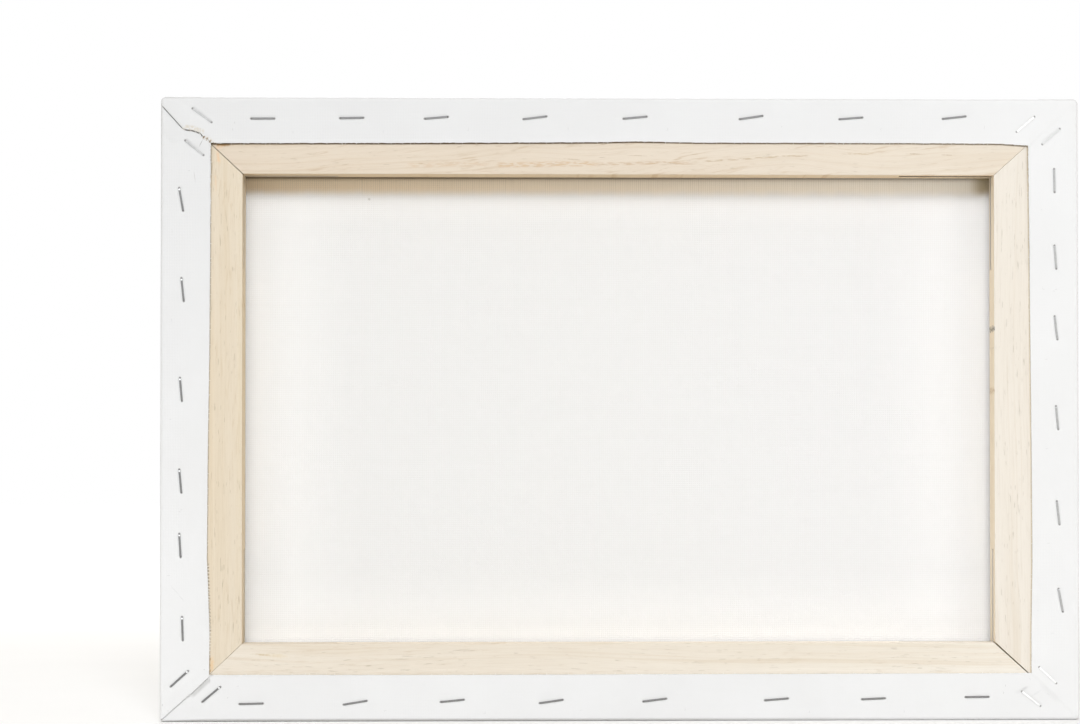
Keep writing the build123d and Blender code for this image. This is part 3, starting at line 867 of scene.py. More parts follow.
def canvas_primed():
    g = Graph("primed_cotton")
    a = g.attribute("weave")
    o = g.object()
    slow = g.noise(g.vec(g.m("MULTIPLY", a[0], 90.0), g.m("MULTIPLY", a[1], 9.0), 0.0), 1.0, 2.0)
    slow2 = g.noise(g.vec(g.m("MULTIPLY", a[0], 9.0), g.m("MULTIPLY", a[1], 90.0), 3.0), 1.0, 2.0)
    wob = (g.m("MULTIPLY_ADD", slow, 1.6, -0.8), g.m("MULTIPLY_ADD", slow2, 1.6, -0.8))
    h, su, sv = weave_height(g, a[0], a[1], 0.80, 0.72, wob)
    fill = g.noise(g.vec(g.m("MULTIPLY", a[0], 700.0), g.m("MULTIPLY", a[1], 700.0), 7.0), 1.0, 3.0, 0.6)
    blot = g.noise(g.vec(g.m("MULTIPLY", o[0], 14.0), g.m("MULTIPLY", o[1], 60.0), g.m("MULTIPLY", o[2], 14.0)), 1.0, 4.0, 0.55)
    height = g.m("ADD", g.m("MULTIPLY", h, 0.6), g.m("MULTIPLY", fill, 0.5))
    color = g.mix(g.ramp(blot, 0.35, 0.7), PRIMER[0], PRIMER[1])
    # painted shade in the hollows of the weave
    color = g.mix(g.m("MULTIPLY", g.ramp(h, 0.5, 0.0), 0.04), color, (0.60, 0.59, 0.57))
    # painted light and shade across the primer: darker towards +X and at the top towards +X, brighter lower down
    # towards +X and low on the -X side
    dull_patches_and_painted_light = g.m("SUBTRACT", 0.990, g.ramp(o[0], -0.20, 0.02, 0.0, 0.040))
    dull_patches_and_painted_light = g.m("SUBTRACT", dull_patches_and_painted_light, g.ramp(o[0], 0.0, 0.21, 0.0, 0.010))
    dull_patches_and_painted_light = g.m("SUBTRACT", dull_patches_and_painted_light, g.m("MULTIPLY", g.m("MULTIPLY", g.ramp(o[2], 0.20, 0.29), g.ramp(o[0], -0.05, 0.20)), 0.020))
    dull_patches_and_painted_light = g.m("ADD", dull_patches_and_painted_light, g.m("MULTIPLY", g.m("MULTIPLY", g.ramp(o[2], 0.23, 0.08), g.ramp(o[0], -0.10, 0.14)), 0.034))
    dull_patches_and_painted_light = g.m("ADD", dull_patches_and_painted_light, g.m("MULTIPLY", g.m("MULTIPLY", g.ramp(o[2], 0.26, 0.20), g.ramp(o[0], -0.19, -0.205)), 0.012))
    color = g.mix(1.0, color, g.vec(dull_patches_and_painted_light, dull_patches_and_painted_light, dull_patches_and_painted_light), "MULTIPLY")
    grey = g.noise(g.vec(g.m("MULTIPLY", o[0], 260.0), g.m("MULTIPLY", o[1], 260.0), g.m("MULTIPLY", o[2], 260.0)), 1.0, 2.0, 0.5)
    grit = g.noise(g.vec(g.m("MULTIPLY", o[0], 1100.0), g.m("MULTIPLY", o[1], 1100.0), g.m("MULTIPLY", o[2], 1100.0)), 1.0, 2.0, 0.6)
    back = g.ramp(o[1], 0.0, 0.004)  # the marks are on the back only
    color = g.mix(g.m("MULTIPLY", g.m("MULTIPLY", g.spot(o, -197.2, 15.0, 4.5, 1.5, -25, 0.1, grey), back), 0.22), color, (0.42, 0.42, 0.42))
    # painted shade along creases and a cut edge, and specks and smudges
    for (cx, cz, rx, rz, turn, amount, tint) in CREASE_SHADE_AND_SPECKS:
        color = g.mix(g.m("MULTIPLY", g.m("MULTIPLY", g.spot(o, cx, cz, rx, rz, turn, 0.2), back), amount), color, tint)
    # painted shade along the bottom edge, where the rounded edge faces down away from the light
    low = g.m("ADD", o[2], g.ramp(o[0], 0.203, 0.2235, 0.0, 0.0009))
    painted_edge_shade = g.ramp(low, 0.00175, 0.00075)
    painted_edge_shade = g.m("MULTIPLY", painted_edge_shade, g.ramp(o[0], -0.2, 0.1, 0.20, 0.62))
    color = g.mix(g.m("MULTIPLY", painted_edge_shade, g.ramp(o[1], 0.0070, 0.0082)), color, (0.36, 0.35, 0.335))
    # painted shade in the seams of the folded corners, dark and grey stripes, with the tan and brown of the cut cotton
    # there
    f = g.attribute("fold")
    d, run, code = f[0], f[1], f[2]

    def corner(n):
        return g.m("COMPARE", code, float(n), 0.3)

    def span(lo, hi, soft=0.8):
        return g.m("MULTIPLY", g.ramp(run, lo - soft, lo + soft), g.ramp(run, hi + soft, hi - soft))

    def stripe(centre, half, soft):
        off = g.m("ABSOLUTE", g.m("SUBTRACT", d, centre))
        return g.ramp(off, half + soft, half - soft)

    def seam_shade_and_tint(color, which, lo, hi, centre, half, soft, amount, tint, rough=0.0, ends=0.8):
        k = g.m("MULTIPLY", g.m("MULTIPLY", corner(which), span(lo, hi, ends)), stripe(centre, half, soft))
        if rough > 0:
            k = g.m("MULTIPLY", k, g.ramp(grit, 0.5 - rough, 0.5 + rough * 0.4))
        elif rough < 0:  # broken into dots
            k = g.m("MULTIPLY", k, g.ramp(g.m("SINE", g.m("MULTIPLY", run, 2 * math.pi / -rough)), -0.1, 0.7))
        return g.mix(g.m("MULTIPLY", k, amount), color, tint)

    for (which, lo, hi, centre, half, soft, amount, tint, rough, ends) in SEAM_SHADE_AND_TINT:
        color = seam_shade_and_tint(color, which, lo, hi, centre, half, soft, amount, tint, rough, ends)
    # painted shade at the holes where the staple legs go through the cloth
    p = g.attribute("pin")
    end = g.m("SUBTRACT", g.m("ABSOLUTE", p[0]), 5.75)
    r = g.m("SQRT", g.m("ADD", g.m("MULTIPLY", end, end), g.m("MULTIPLY", p[1], p[1])))
    color = g.mix(g.m("MULTIPLY", g.ramp(r, 0.75, 0.30), 0.75), color, (0.16, 0.155, 0.15))
    return g.surface(color, 0.62, height, 0.00005, Specular_IOR_Level=0.25)


def canvas_raw():
    g = Graph("raw_cotton")
    a = g.attribute("weave")
    o = g.object()
    slow = g.noise(g.vec(g.m("MULTIPLY", a[0], 120.0), g.m("MULTIPLY", a[1], 7.0), 0.0), 1.0, 2.0)
    slow2 = g.noise(g.vec(g.m("MULTIPLY", a[0], 7.0), g.m("MULTIPLY", a[1], 120.0), 3.0), 1.0, 2.0)
    wob = (g.m("MULTIPLY_ADD", slow, 2.0, -1.0), g.m("MULTIPLY_ADD", slow2, 2.0, -1.0))
    h, su, sv = weave_height(g, a[0], a[1], 1.03, 0.92, wob)
    fuzz = g.noise(g.vec(g.m("MULTIPLY", a[0], 2600.0), g.m("MULTIPLY", a[1], 2600.0), 1.0), 1.0, 3.0, 0.7)
    thread = g.noise(g.vec(g.m("MULTIPLY", a[0], 970.0), g.m("MULTIPLY", a[1], 14.0), 5.0), 1.0, 1.0)
    thread2 = g.noise(g.vec(g.m("MULTIPLY", a[0], 14.0), g.m("MULTIPLY", a[1], 1080.0), 9.0), 1.0, 1.0)
    height = g.m("ADD", g.m("ADD", h, g.m("MULTIPLY", fuzz, 0.35)), g.m("MULTIPLY", g.m("ADD", thread, thread2), 0.5))
    # painted shade in the hollows of the weave
    color = g.mix(g.ramp(h, 0.0, 0.75), (0.757, 0.747, 0.731), (0.790, 0.785, 0.777))
    color = g.mix(g.m("MULTIPLY", g.ramp(thread, 0.55, 0.8), 0.25), color, (0.772, 0.758, 0.738))
    color = g.mix(g.m("MULTIPLY", g.ramp(thread2, 0.55, 0.8), 0.20), color, (0.772, 0.760, 0.742))
    # painted light: the cotton is brightened close to the bars against the shade there, and a little brighter and bluer
    # towards -X
    painted_light_lift = g.m("ADD", g.ramp(o[0], 0.125, 0.182, 0.0, 0.088), g.ramp(o[0], -0.120, -0.184, 0.0, 0.088))
    painted_light_lift = g.m("ADD", painted_light_lift, g.ramp(o[2], 0.243, 0.257, 0.0, 0.050))
    painted_light_lift = g.m("ADD", painted_light_lift, g.m("ADD", g.ramp(o[2], 0.075, 0.045, 0.0, 0.075), g.ramp(o[2], 0.048, 0.037, 0.0, 0.13)))
    painted_light_lift = g.m("ADD", painted_light_lift, g.ramp(o[0], 0.15, -0.15, 0.918, 0.940))
    color = g.mix(1.0, color, g.vec(painted_light_lift, painted_light_lift, g.m("MULTIPLY", painted_light_lift, g.ramp(o[0], 0.05, -0.17, 1.0, 1.010))), "MULTIPLY")
    # painted shade and light in the strip beside the top bar, where the bar casts its shadow: warm and dark towards +X,
    # pale towards -X against that shadow, with the threads showing darker in it
    edge = g.ramp(g.m("ADD", o[2], g.m("MULTIPLY_ADD", slow, 0.002, -0.001)), 0.2576, 0.2628)
    side = g.ramp(o[0], -0.190, 0.185, smooth=False)
    warp = g.ramp(g.m("ADD", su, g.m("MULTIPLY", thread, 0.7)), 0.35, 1.05)
    painted_shadow_tint = g.mix(side, (0.985, 0.945, 0.865), (0.775, 0.628, 0.435))
    deep = g.m("MULTIPLY_ADD", side, 0.28, 0.26)
    painted_shadow_tint = g.mix(g.m("SUBTRACT", deep, g.m("MULTIPLY", warp, deep)), painted_shadow_tint, g.mix(side, (0.66, 0.59, 0.48), (0.54, 0.45, 0.325)))
    # painted contact shade along the line where the bar comes down to the cloth, and painted deep shade in the corner
    # towards -X
    painted_shadow_tint = g.mix(g.m("MULTIPLY", g.ramp(o[2], 0.26530, 0.26690), g.ramp(o[0], -0.19, 0.15, 0.22, 0.32)), painted_shadow_tint, (0.26, 0.145, 0.025))
    painted_shadow_tint = g.mix(g.m("MULTIPLY", g.ramp(o[2], 0.26665, 0.26730), g.ramp(o[0], -0.19, 0.15, 0.44, 0.82)), painted_shadow_tint, (0.150, 0.105, 0.050))
    painted_shadow_tint = g.mix(g.m("MULTIPLY", g.ramp(o[0], -0.1725, -0.1815), 0.8), painted_shadow_tint, (0.38, 0.29, 0.135))
    color = g.mix(g.m("MULTIPLY", edge, 0.95), color, painted_shadow_tint)
    color = g.mix(g.m("MULTIPLY", g.spot(o, 124.4, 256.9, 0.9, 0.8, 20, 0.3, fuzz), 0.6), color, (0.42, 0.40, 0.36))
    return g.surface(color, 0.95, height, 0.00008, Specular_IOR_Level=0.12, Sheen_Weight=0.06)


def wood(name, axis, seed, pale, mid, streak, cathedral=0.0, slant=0.0, spots=(), fine=0.5, band=0.62, flecks=(0.0, 0.0), line=None, slots=(), side_light_and_shade=((0.97, 0.90, 0.78),) * 2, lines_=(), tone_and_painted_light=((1.0, 1.0, 1.0),) * 2):
    """Planed softwood: axis is the grain's direction, 0 along X or 2 along Z."""
    g = Graph(name)
    o = g.object()
    l, w = (o[0], o[2]) if axis == 0 else (o[2], o[0])
    y = o[1]
    # the grain leans and wanders a little
    lean = g.m("MULTIPLY", l, slant)
    wander = g.m("MULTIPLY_ADD", g.noise(g.vec(g.m("MULTIPLY", l, 5.0), g.m("MULTIPLY", w, 4.0), float(seed)), 1.0, 2.0), 0.012, -0.006)
    w2 = g.m("ADD", g.m("ADD", w, wander), lean)
    if cathedral:
        wide = g.noise(g.vec(g.m("MULTIPLY", l, 9.0), g.m("MULTIPLY", w, 22.0), float(seed) + 40), 1.0, 1.0, 0.4)
        w2 = g.m("ADD", w2, g.m("MULTIPLY_ADD", wide, 0.05 * cathedral, -0.025 * cathedral))
    p = float(seed) * 3.7
    tone = g.noise(g.vec(g.m("MULTIPLY", l, 3.0), g.m("MULTIPLY", w2, 40.0), g.m("MULTIPLY_ADD", y, 30.0, p)), 1.0, 3.0, 0.55)
    bands = g.noise(g.vec(g.m("MULTIPLY", l, 5.0), g.m("MULTIPLY", w2, 420.0), g.m("MULTIPLY_ADD", y, 420.0, p + 5)), 1.0, 3.0, 0.62, 0.25)
    fibre = g.noise(g.vec(g.m("MULTIPLY", l, 60.0), g.m("MULTIPLY", w2, 3400.0), g.m("MULTIPLY_ADD", y, 3400.0, p + 9)), 1.0, 3.0, 0.6)
    pore = g.noise(g.vec(g.m("MULTIPLY", l, 160.0), g.m("MULTIPLY", w2, 2100.0), g.m("MULTIPLY_ADD", y, 2100.0, p + 13)), 1.0, 1.0, 0.5)
    color = g.mix(g.ramp(tone, 0.32, 0.68), mid, pale)
    color = g.mix(g.m("MULTIPLY", g.ramp(bands, 0.50, 0.72), band), color, streak)
    color = g.mix(g.m("MULTIPLY", g.ramp(bands, 0.44, 0.30), 0.45), color, tuple(min(0.95, c * 1.05) for c in pale))
    color = g.mix(g.m("MULTIPLY", g.ramp(fibre, 0.50, 0.74), 0.30 * fine + 0.12), color, tuple(c * 0.84 for c in streak))
    color = g.mix(g.m("MULTIPLY", g.ramp(pore, 0.68, 0.76), 0.38), color, tuple(c * 0.62 for c in streak))
    amount, rise = flecks
    if amount:
        # short strokes of grain that climb across the face, in loose groups
        w3 = g.m("ADD", w, g.m("MULTIPLY", l, rise))
        stroke = g.noise(g.vec(g.m("MULTIPLY", l, 85.0), g.m("MULTIPLY", w3, 900.0), p + 21), 1.0, 2.0, 0.55, 0.4)
        group = g.noise(g.vec(g.m("MULTIPLY", l, 22.0), g.m("MULTIPLY", w3, 70.0), p + 25), 1.0, 2.0, 0.5)
        k = g.m("MULTIPLY", g.ramp(stroke, 0.54, 0.70), g.ramp(group, 0.40, 0.62))
        color = g.mix(g.m("MULTIPLY", k, amount), color, tuple(c * q for c, q in zip(streak, (0.86, 0.80, 0.72))))
    rough_noise = g.noise(g.vec(g.m("MULTIPLY", o[0], 900.0), g.m("MULTIPLY", o[1], 900.0), g.m("MULTIPLY", o[2], 900.0)), 1.0, 2.0)
    for (cx, cz, rx, rz, turn, col, part, edge) in spots:
        color = g.mix(g.m("MULTIPLY", g.spot(o, cx, cz, rx, rz, turn, edge, rough_noise), part), color, col)
    if line:
        # dust and shade gathered along the canvas's cut edge: points, side, width, amount, colour, dotted range
        points, side, width, part, col, dots = line
        run, off = (o[0], o[2]) if axis == 0 else (o[2], o[0])
        place = g.polyline(run, points)
        away = g.m("MULTIPLY", g.m("SUBTRACT", off, place), float(side))
        k = g.m("MULTIPLY", g.ramp(away, width * MM, width * 0.35 * MM), g.ramp(run, -0.20, 0.05, *part))
        if dots:
            lo, hi = dots
            inside = g.m("MULTIPLY", g.ramp(run, (lo - 1) * MM, (lo + 1) * MM), g.ramp(run, (hi + 1) * MM, (hi - 1) * MM))
            bead = g.ramp(g.m("SINE", g.m("MULTIPLY_ADD", rough_noise, 1.2, g.m("MULTIPLY", run, 2 * math.pi / 0.0017))), -0.1, 0.6)
            wide = g.m("MULTIPLY", g.m("MULTIPLY", g.ramp(away, 0.95 * MM, 0.55 * MM), bead), 0.85)
            k = g.m("MAXIMUM", k, g.m("MULTIPLY", inside, wide))
        color = g.mix(k, color, col)
    # long thin lines of darker grain, broken up along their length
    for (x0, z0, x1, z1, half, part, col) in lines_:
        dx, dz = (x1 - x0), (z1 - z0)
        n = math.hypot(dx, dz)
        dx, dz = dx / n, dz / n
        px, pz = g.m("SUBTRACT", o[0], x0 * MM), g.m("SUBTRACT", o[2], z0 * MM)
        run = g.m("ADD", g.m("MULTIPLY", px, dx), g.m("MULTIPLY", pz, dz))
        off = g.m("ADD", g.m("MULTIPLY", px, -dz), g.m("MULTIPLY", pz, dx))
        broken = g.noise(g.vec(g.m("MULTIPLY", run, 260.0), g.m("MULTIPLY", off, 1500.0), p + 31), 1.0, 2.0, 0.6)
        drift = g.noise(g.vec(g.m("MULTIPLY", run, 30.0), 0.0, p + 33), 1.0, 1.0, 0.5)
        off = g.m("ABSOLUTE", g.m("ADD", off, g.m("MULTIPLY_ADD", drift, 0.002, -0.001)))
        k = g.m("MULTIPLY", g.ramp(off, half * 1.6 * MM, half * 0.5 * MM), g.ramp(broken, 0.40, 0.58))
        k = g.m("MULTIPLY", k, g.m("MULTIPLY", g.ramp(run, 0.0, 0.006), g.ramp(run, n * MM, n * MM - 0.006)))
        color = g.mix(g.m("MULTIPLY", k, part), color, col)
    # each bar's tone multiplied in, with painted light on the top and bottom bars: brighter and bluer towards -X
    color = g.mix(1.0, color, g.mix(g.ramp(o[0], -0.19, 0.04, smooth=False), tone_and_painted_light[1], tone_and_painted_light[0]), "MULTIPLY")
    # painted light and shade on the side faces: each bar's sides are multiplied by its own factors, deeper and warmer
    # on some, brighter on others
    geo = g.node("ShaderNodeNewGeometry")
    s = g.node("ShaderNodeSeparateXYZ")
    g.t.links.new(geo.outputs["Normal"], s.inputs[0])
    side_on = g.ramp(g.m("ABSOLUTE", s.outputs[1]), 0.75, 0.25)
    tint = g.mix(g.ramp(o[0], -0.19, 0.19, smooth=False), *side_light_and_shade)
    color = g.mix(side_on, color, g.mix(1.0, color, tint, "MULTIPLY"))
    # painted shade on the walls of the slots
    for (lo, hi, y0, y1, inner, side, slot_shade) in slots:
        k = g.m("MULTIPLY", g.ramp(l, lo * MM, (lo + 0.6) * MM), g.ramp(l, hi * MM, (hi - 0.6) * MM))
        k = g.m("MULTIPLY", k, g.m("MULTIPLY", g.ramp(y, (y0 - 0.06) * MM, (y0 - 0.02) * MM), g.ramp(y, (y1 + 0.06) * MM, (y1 + 0.02) * MM)))
        k = g.m("MULTIPLY", k, g.ramp(g.m("MULTIPLY", g.m("SUBTRACT", w, inner * MM), float(side)), 0.02 * MM, 0.07 * MM))
        color = g.mix(g.m("MULTIPLY", k, slot_shade), color, (0.085, 0.058, 0.030))
    height = g.m("ADD", g.m("MULTIPLY", fibre, 0.7), g.m("MULTIPLY", bands, 0.4))
    height = g.m("SUBTRACT", height, g.m("MULTIPLY", g.ramp(pore, 0.68, 0.76), 0.8))
    rough = g.m("MULTIPLY_ADD", fibre, 0.2, 0.55)
    return g.surface(color, rough, height, 0.00010, Specular_IOR_Level=0.25)


def steel(name, tone, metal, glints=(), dimmed_crowns=()):
    """Wire, bright on top of the crown, with painted shade at the bends and down the sides."""
    g = Graph(name)
    o = g.object()
    n = g.noise(g.vec(g.m("MULTIPLY", o[0], 900.0), g.m("MULTIPLY", o[1], 900.0), g.m("MULTIPLY", o[2], 900.0)), 1.0, 3.0, 0.6)
    dull_patches_and_painted_light = g.noise(g.vec(g.m("MULTIPLY", o[0], 45.0), g.m("MULTIPLY", o[1], 45.0), g.m("MULTIPLY", o[2], 45.0)), 1.0, 2.0, 0.5)
    color = g.mix(g.ramp(n, 0.35, 0.7), (tone * 0.88,) * 3, (tone * 1.05, tone * 1.05, tone * 1.04))
    color = g.mix(g.m("MULTIPLY", g.ramp(dull_patches_and_painted_light, 0.45, 0.7), 0.3), color, (tone * 0.7,) * 3)
    geo = g.node("ShaderNodeNewGeometry")
    s = g.node("ShaderNodeSeparateXYZ")
    g.t.links.new(geo.outputs["Normal"], s.inputs[0])
    # painted shade where the wire turns away from the back
    bend_shade = g.ramp(s.outputs[1], 0.90, 0.55)
    color = g.mix(g.m("MULTIPLY", bend_shade, 0.8), color, (0.10, 0.10, 0.10))
    for cx, cz in dimmed_crowns:  # a crown painted a duller grey, with less of the painted highlight
        color = g.mix(g.m("MULTIPLY", g.spot(o, cx, cz, 6.6, 6.6, 0, 0.9), 0.75), color, (0.58, 0.585, 0.58))
    for cx, cz in glints:  # a painted glint on a bend
        color = g.mix(g.spot(o, cx, cz, 0.55, 0.55, 0, 0.5), color, (0.93, 0.93, 0.93))
    rough = g.m("MULTIPLY_ADD", dull_patches_and_painted_light, 0.25, 0.30)
    return g.surface(color, rough, n, 0.00002, metallic=metal)


def thread_cotton():
    g = Graph("cotton_thread")
    o = g.object()
    n = g.noise(g.vec(g.m("MULTIPLY", o[0], 1500.0), g.m("MULTIPLY", o[1], 1500.0), g.m("MULTIPLY", o[2], 1500.0)), 1.0, 3.0, 0.6)
    color = g.mix(n, (0.80, 0.77, 0.71), (0.88, 0.87, 0.85))
    return g.surface(color, 0.9, n, 0.00005, Specular_IOR_Level=0.1, Sheen_Weight=0.1)


PRIMER = ((0.712, 0.712, 0.713), (0.732, 0.733, 0.735))
# centre, half sizes, turn, amount and colour of marks on the primed side: painted shade along creases and a cut edge,
# and grey specks and smudges
CREASE_SHADE_AND_SPECKS = [
    (205.35, 282.4, 2.9, 0.26, -63.4, 0.60, (0.25, 0.24, 0.23)), (208.4, 266.0, 3.8, 0.24, 81.4, 0.36, (0.30, 0.29, 0.28)),
    (217.4, 63.8, 4.8, 0.20, 46, 0.20, (0.25, 0.25, 0.25)), (214.4, 60.2, 2.4, 0.20, 44, 0.26, (0.25, 0.25, 0.25)), (200.75, 20.3, 2.4, 0.22, 90, 0.45, (0.28, 0.27, 0.25)), (223.4, 8.2, 0.5, 0.9, 10, 0.30, (0.3, 0.3, 0.3)), (220.6, 5.4, 0.6, 0.4, 30, 0.30, (0.3, 0.3, 0.3)),
    (203.2, 25.4, 0.35, 0.4, 0, 0.45, (0.25, 0.24, 0.22)), (-213.5, 283.5, 0.3, 0.3, 0, 0.2, (0.3, 0.3, 0.3)),
    (-198.0, 15.6, 2.4, 0.9, -30, 0.20, (0.35, 0.35, 0.36)), (-203.5, 13.0, 5.0, 0.8, -32, 0.10, (0.35, 0.35, 0.36)),
]
GREY, DARK, TAN, RUST = (0.38, 0.375, 0.37), (0.11, 0.10, 0.09), (0.60, 0.555, 0.48), (0.22, 0.13, 0.06)
# painted shade in the seams of the folded corners and the colour of the cut cotton there: corner, from, to along the
# seam, centre and half width across it, softness, amount, colour, roughness, softness of the ends
SEAM_SHADE_AND_TINT = [
    (1, 2.6, 17.2, 0.0, 0.22, 0.16, 0.80, DARK, 0.0, 0.6), (1, 2.6, 17.2, 0.35, 0.7, 0.6, 0.10, GREY, 0.0, 1.5),
    (1, 18.2, 27.0, 1.35, 1.1, 0.5, 0.85, TAN, 0.16, 1.0), (1, 18.6, 28.8, 0.0, 0.30, 0.20, 0.85, DARK, 0.0, 0.6),
    (1, 17.2, 19.0, 0.1, 0.5, 0.3, 0.60, TAN, 0.2, 0.3), (1, 28.4, 35.0, 0.2, 0.75, 0.3, 0.95, RUST, -1.9, 0.4),
    (1, 29.5, 35.0, 0.6, 1.0, 0.6, 0.45, TAN, 0.2, 0.6),
    (2, 1.0, 18.6, 0.0, 0.20, 0.16, 0.50, (0.22, 0.215, 0.21), 0.0, 1.2), (2, 19.0, 21.6, 0.0, 0.6, 0.4, 0.50, GREY, 0.2, 0.5),
    (2, 21.6, 33.0, 0.0, 0.25, 0.20, 0.36, (0.25, 0.24, 0.23), 0.0, 0.6), (2, 21.6, 33.0, 0.9, 0.9, 0.8, 0.50, (0.36, 0.355, 0.345), 0.0, 1.2),
    (4, 16.0, 27.0, 0.6, 1.2, 1.0, 0.10, GREY, 0.0, 3.0),
]
primed, raw = canvas_primed(), canvas_raw()
canvas.data.materials.append(primed)
canvas.data.materials.append(raw)
threads.data.materials.append(thread_cotton())

BROWN, BLACK, ORANGE = (0.42, 0.30, 0.18), (0.05, 0.045, 0.04), (0.78, 0.50, 0.27)
WOODS = {
    "top_bar": dict(axis=0, seed=3, pale=(0.712, 0.623, 0.504), mid=(0.663, 0.560, 0.432), streak=(0.587, 0.455, 0.308), cathedral=0.5, slant=0.03, fine=0.4, band=0.40, flecks=(0.50, 0.16), line=(EDGE_TOP, -1, 0.85, (0.55, 0.95), (0.17, 0.115, 0.060), None), slots=[(-184.0, -137.4, 0.0, 4.0, 267.5, 1, 0.92), (139.0, 185.6, -4.0, 0.0, 267.5, 1, 0.12)], tone_and_painted_light=((0.93, 0.935, 0.96), (1.0, 1.035, 1.10)), side_light_and_shade=((1.13, 1.02, 0.84), (1.00, 0.90, 0.73)), lines_=[
        (62.0, 272.6, 107.5, 271.8, 1.1, 0.40, (0.60, 0.42, 0.25)), (8.0, 272.8, 64.0, 272.0, 1.2, 0.55, (0.58, 0.38, 0.20)), (-36.0, 273.4, 12.0, 272.6, 0.7, 0.55, (0.52, 0.35, 0.20)),
        (-94.5, 277.3, -34.0, 273.7, 0.42, 0.65, (0.47, 0.34, 0.20)), (-127.0, 278.4, -107.0, 277.2, 0.50, 0.60, (0.50, 0.37, 0.22))], spots=[
        (194.8, 281.8, 5.6, 1.15, 0, (0.34, 0.19, 0.07), 0.92, 0.3), (196.6, 280.4, 3.6, 1.6, -20, ORANGE, 0.45, 0.0),
        (24.0, 274.9, 5.0, 0.35, 4, BROWN, 0.5, 0.2), (9.0, 272.3, 4.0, 0.3, -3, BROWN, 0.45, 0.2), (-8.0, 276.8, 6.0, 0.35, 2, BROWN, 0.45, 0.2),
        (-26.0, 272.9, 4.5, 0.3, 3, BROWN, 0.5, 0.2), (-36.0, 277.4, 3.0, 0.3, -5, BROWN, 0.45, 0.2),
        (-144.7, 277.9, 5.2, 0.4, 1, BROWN, 0.6, 0.2), (-160.5, 277.4, 4.0, 0.35, 2, BROWN, 0.55, 0.2)]),
    "bottom_bar": dict(axis=0, seed=8, pale=(0.754, 0.687, 0.579), mid=(0.712, 0.631, 0.511), streak=(0.638, 0.528, 0.386), slant=-0.01, band=0.45, flecks=(0.25, 0.05), side_light_and_shade=((1.28, 1.28, 1.28), (1.20, 1.18, 1.14)), tone_and_painted_light=((0.925, 0.93, 0.955), (1.005, 1.045, 1.12)), spots=[
        (174.8, 32.5, 5.5, 0.7, 6, (0.55, 0.42, 0.24), 0.7, 0.1), (168.0, 32.0, 8.0, 1.6, 3, (0.70, 0.58, 0.38), 0.5, 0.0)]),
    "right_bar": dict(axis=2, seed=14, pale=(0.712, 0.628, 0.499), mid=(0.677, 0.576, 0.427), streak=(0.611, 0.488, 0.313), slant=0.008, band=0.30, flecks=(0.25, 0.03), line=([(z, x) for x, z in EDGE_RIGHT], -1, 0.50, (0.55, 0.55), (0.33, 0.28, 0.20), (43.5, 77.0)), slots=[(221.4, 268.0, 0.0, 4.0, 185.1, 1, 0.20), (37.0, 83.9, -4.0, 0.0, 185.1, 1, 0.10)], tone_and_painted_light=((0.933, 0.938, 0.962),) * 2, side_light_and_shade=((1.0, 0.93, 0.80), (1.0, 0.93, 0.80)), spots=[
        (186.2, 160.0, 2.6, 150.0, 0, (0.66, 0.545, 0.355), 0.30, 0.0), (199.8, 150.0, 2.4, 150.0, 0, (0.70, 0.575, 0.40), 0.28, 0.0),
        (196.9, 275.6, 1.3, 5.0, -6, ORANGE, 0.55, 0.0), (198.2, 263.4, 0.9, 7.0, -3, ORANGE, 0.25, 0.0), (183.2, 225.4, 0.9, 1.1, 0, BROWN, 0.7, 0.3),
        (199.6, 27.8, 1.7, 5.2, 0, (0.76, 0.54, 0.31), 0.75, 0.1), (200.5, 30.6, 0.55, 1.3, 0, (0.46, 0.28, 0.12), 0.75, 0.3), (200.6, 27.6, 0.5, 1.1, 0, (0.46, 0.28, 0.12), 0.75, 0.3), (200.4, 24.9, 0.5, 1.1, 0, (0.46, 0.28, 0.12), 0.70, 0.3)]),
    "left_bar": dict(axis=2, seed=21, pale=(0.744, 0.687, 0.606), mid=(0.709, 0.639, 0.546), streak=(0.647, 0.557, 0.439), slant=-0.006, fine=0.6, band=0.40, line=([(z, x) for x, z in EDGE_LEFT], 1, 0.75, (0.60, 0.60), (0.58, 0.47, 0.30), None), slots=[(221.4, 268.0, -4.0, 0.0, -183.5, -1, 0.08), (37.0, 83.9, 0.0, 4.0, -183.5, -1, 0.0)], tone_and_painted_light=((0.965, 0.975, 0.99),) * 2, side_light_and_shade=((1.24, 1.15, 0.99),) * 2, spots=[
        (-182.9, 191.5, 0.9, 2.7, 8, BLACK, 0.9, 0.4), (-182.7, 183.0, 0.8, 2.6, -6, BLACK, 0.85, 0.4),
        (-182.9, 161.7, 1.0, 3.0, 0, BROWN, 0.75, 0.3), (-182.6, 150.8, 0.8, 1.3, 0, BROWN, 0.7, 0.3)]),
}
for name, spec in WOODS.items():
    obj = nodes[name]
    obj.data.materials.clear()
    obj.data.materials.append(wood("wood_" + name, **spec))
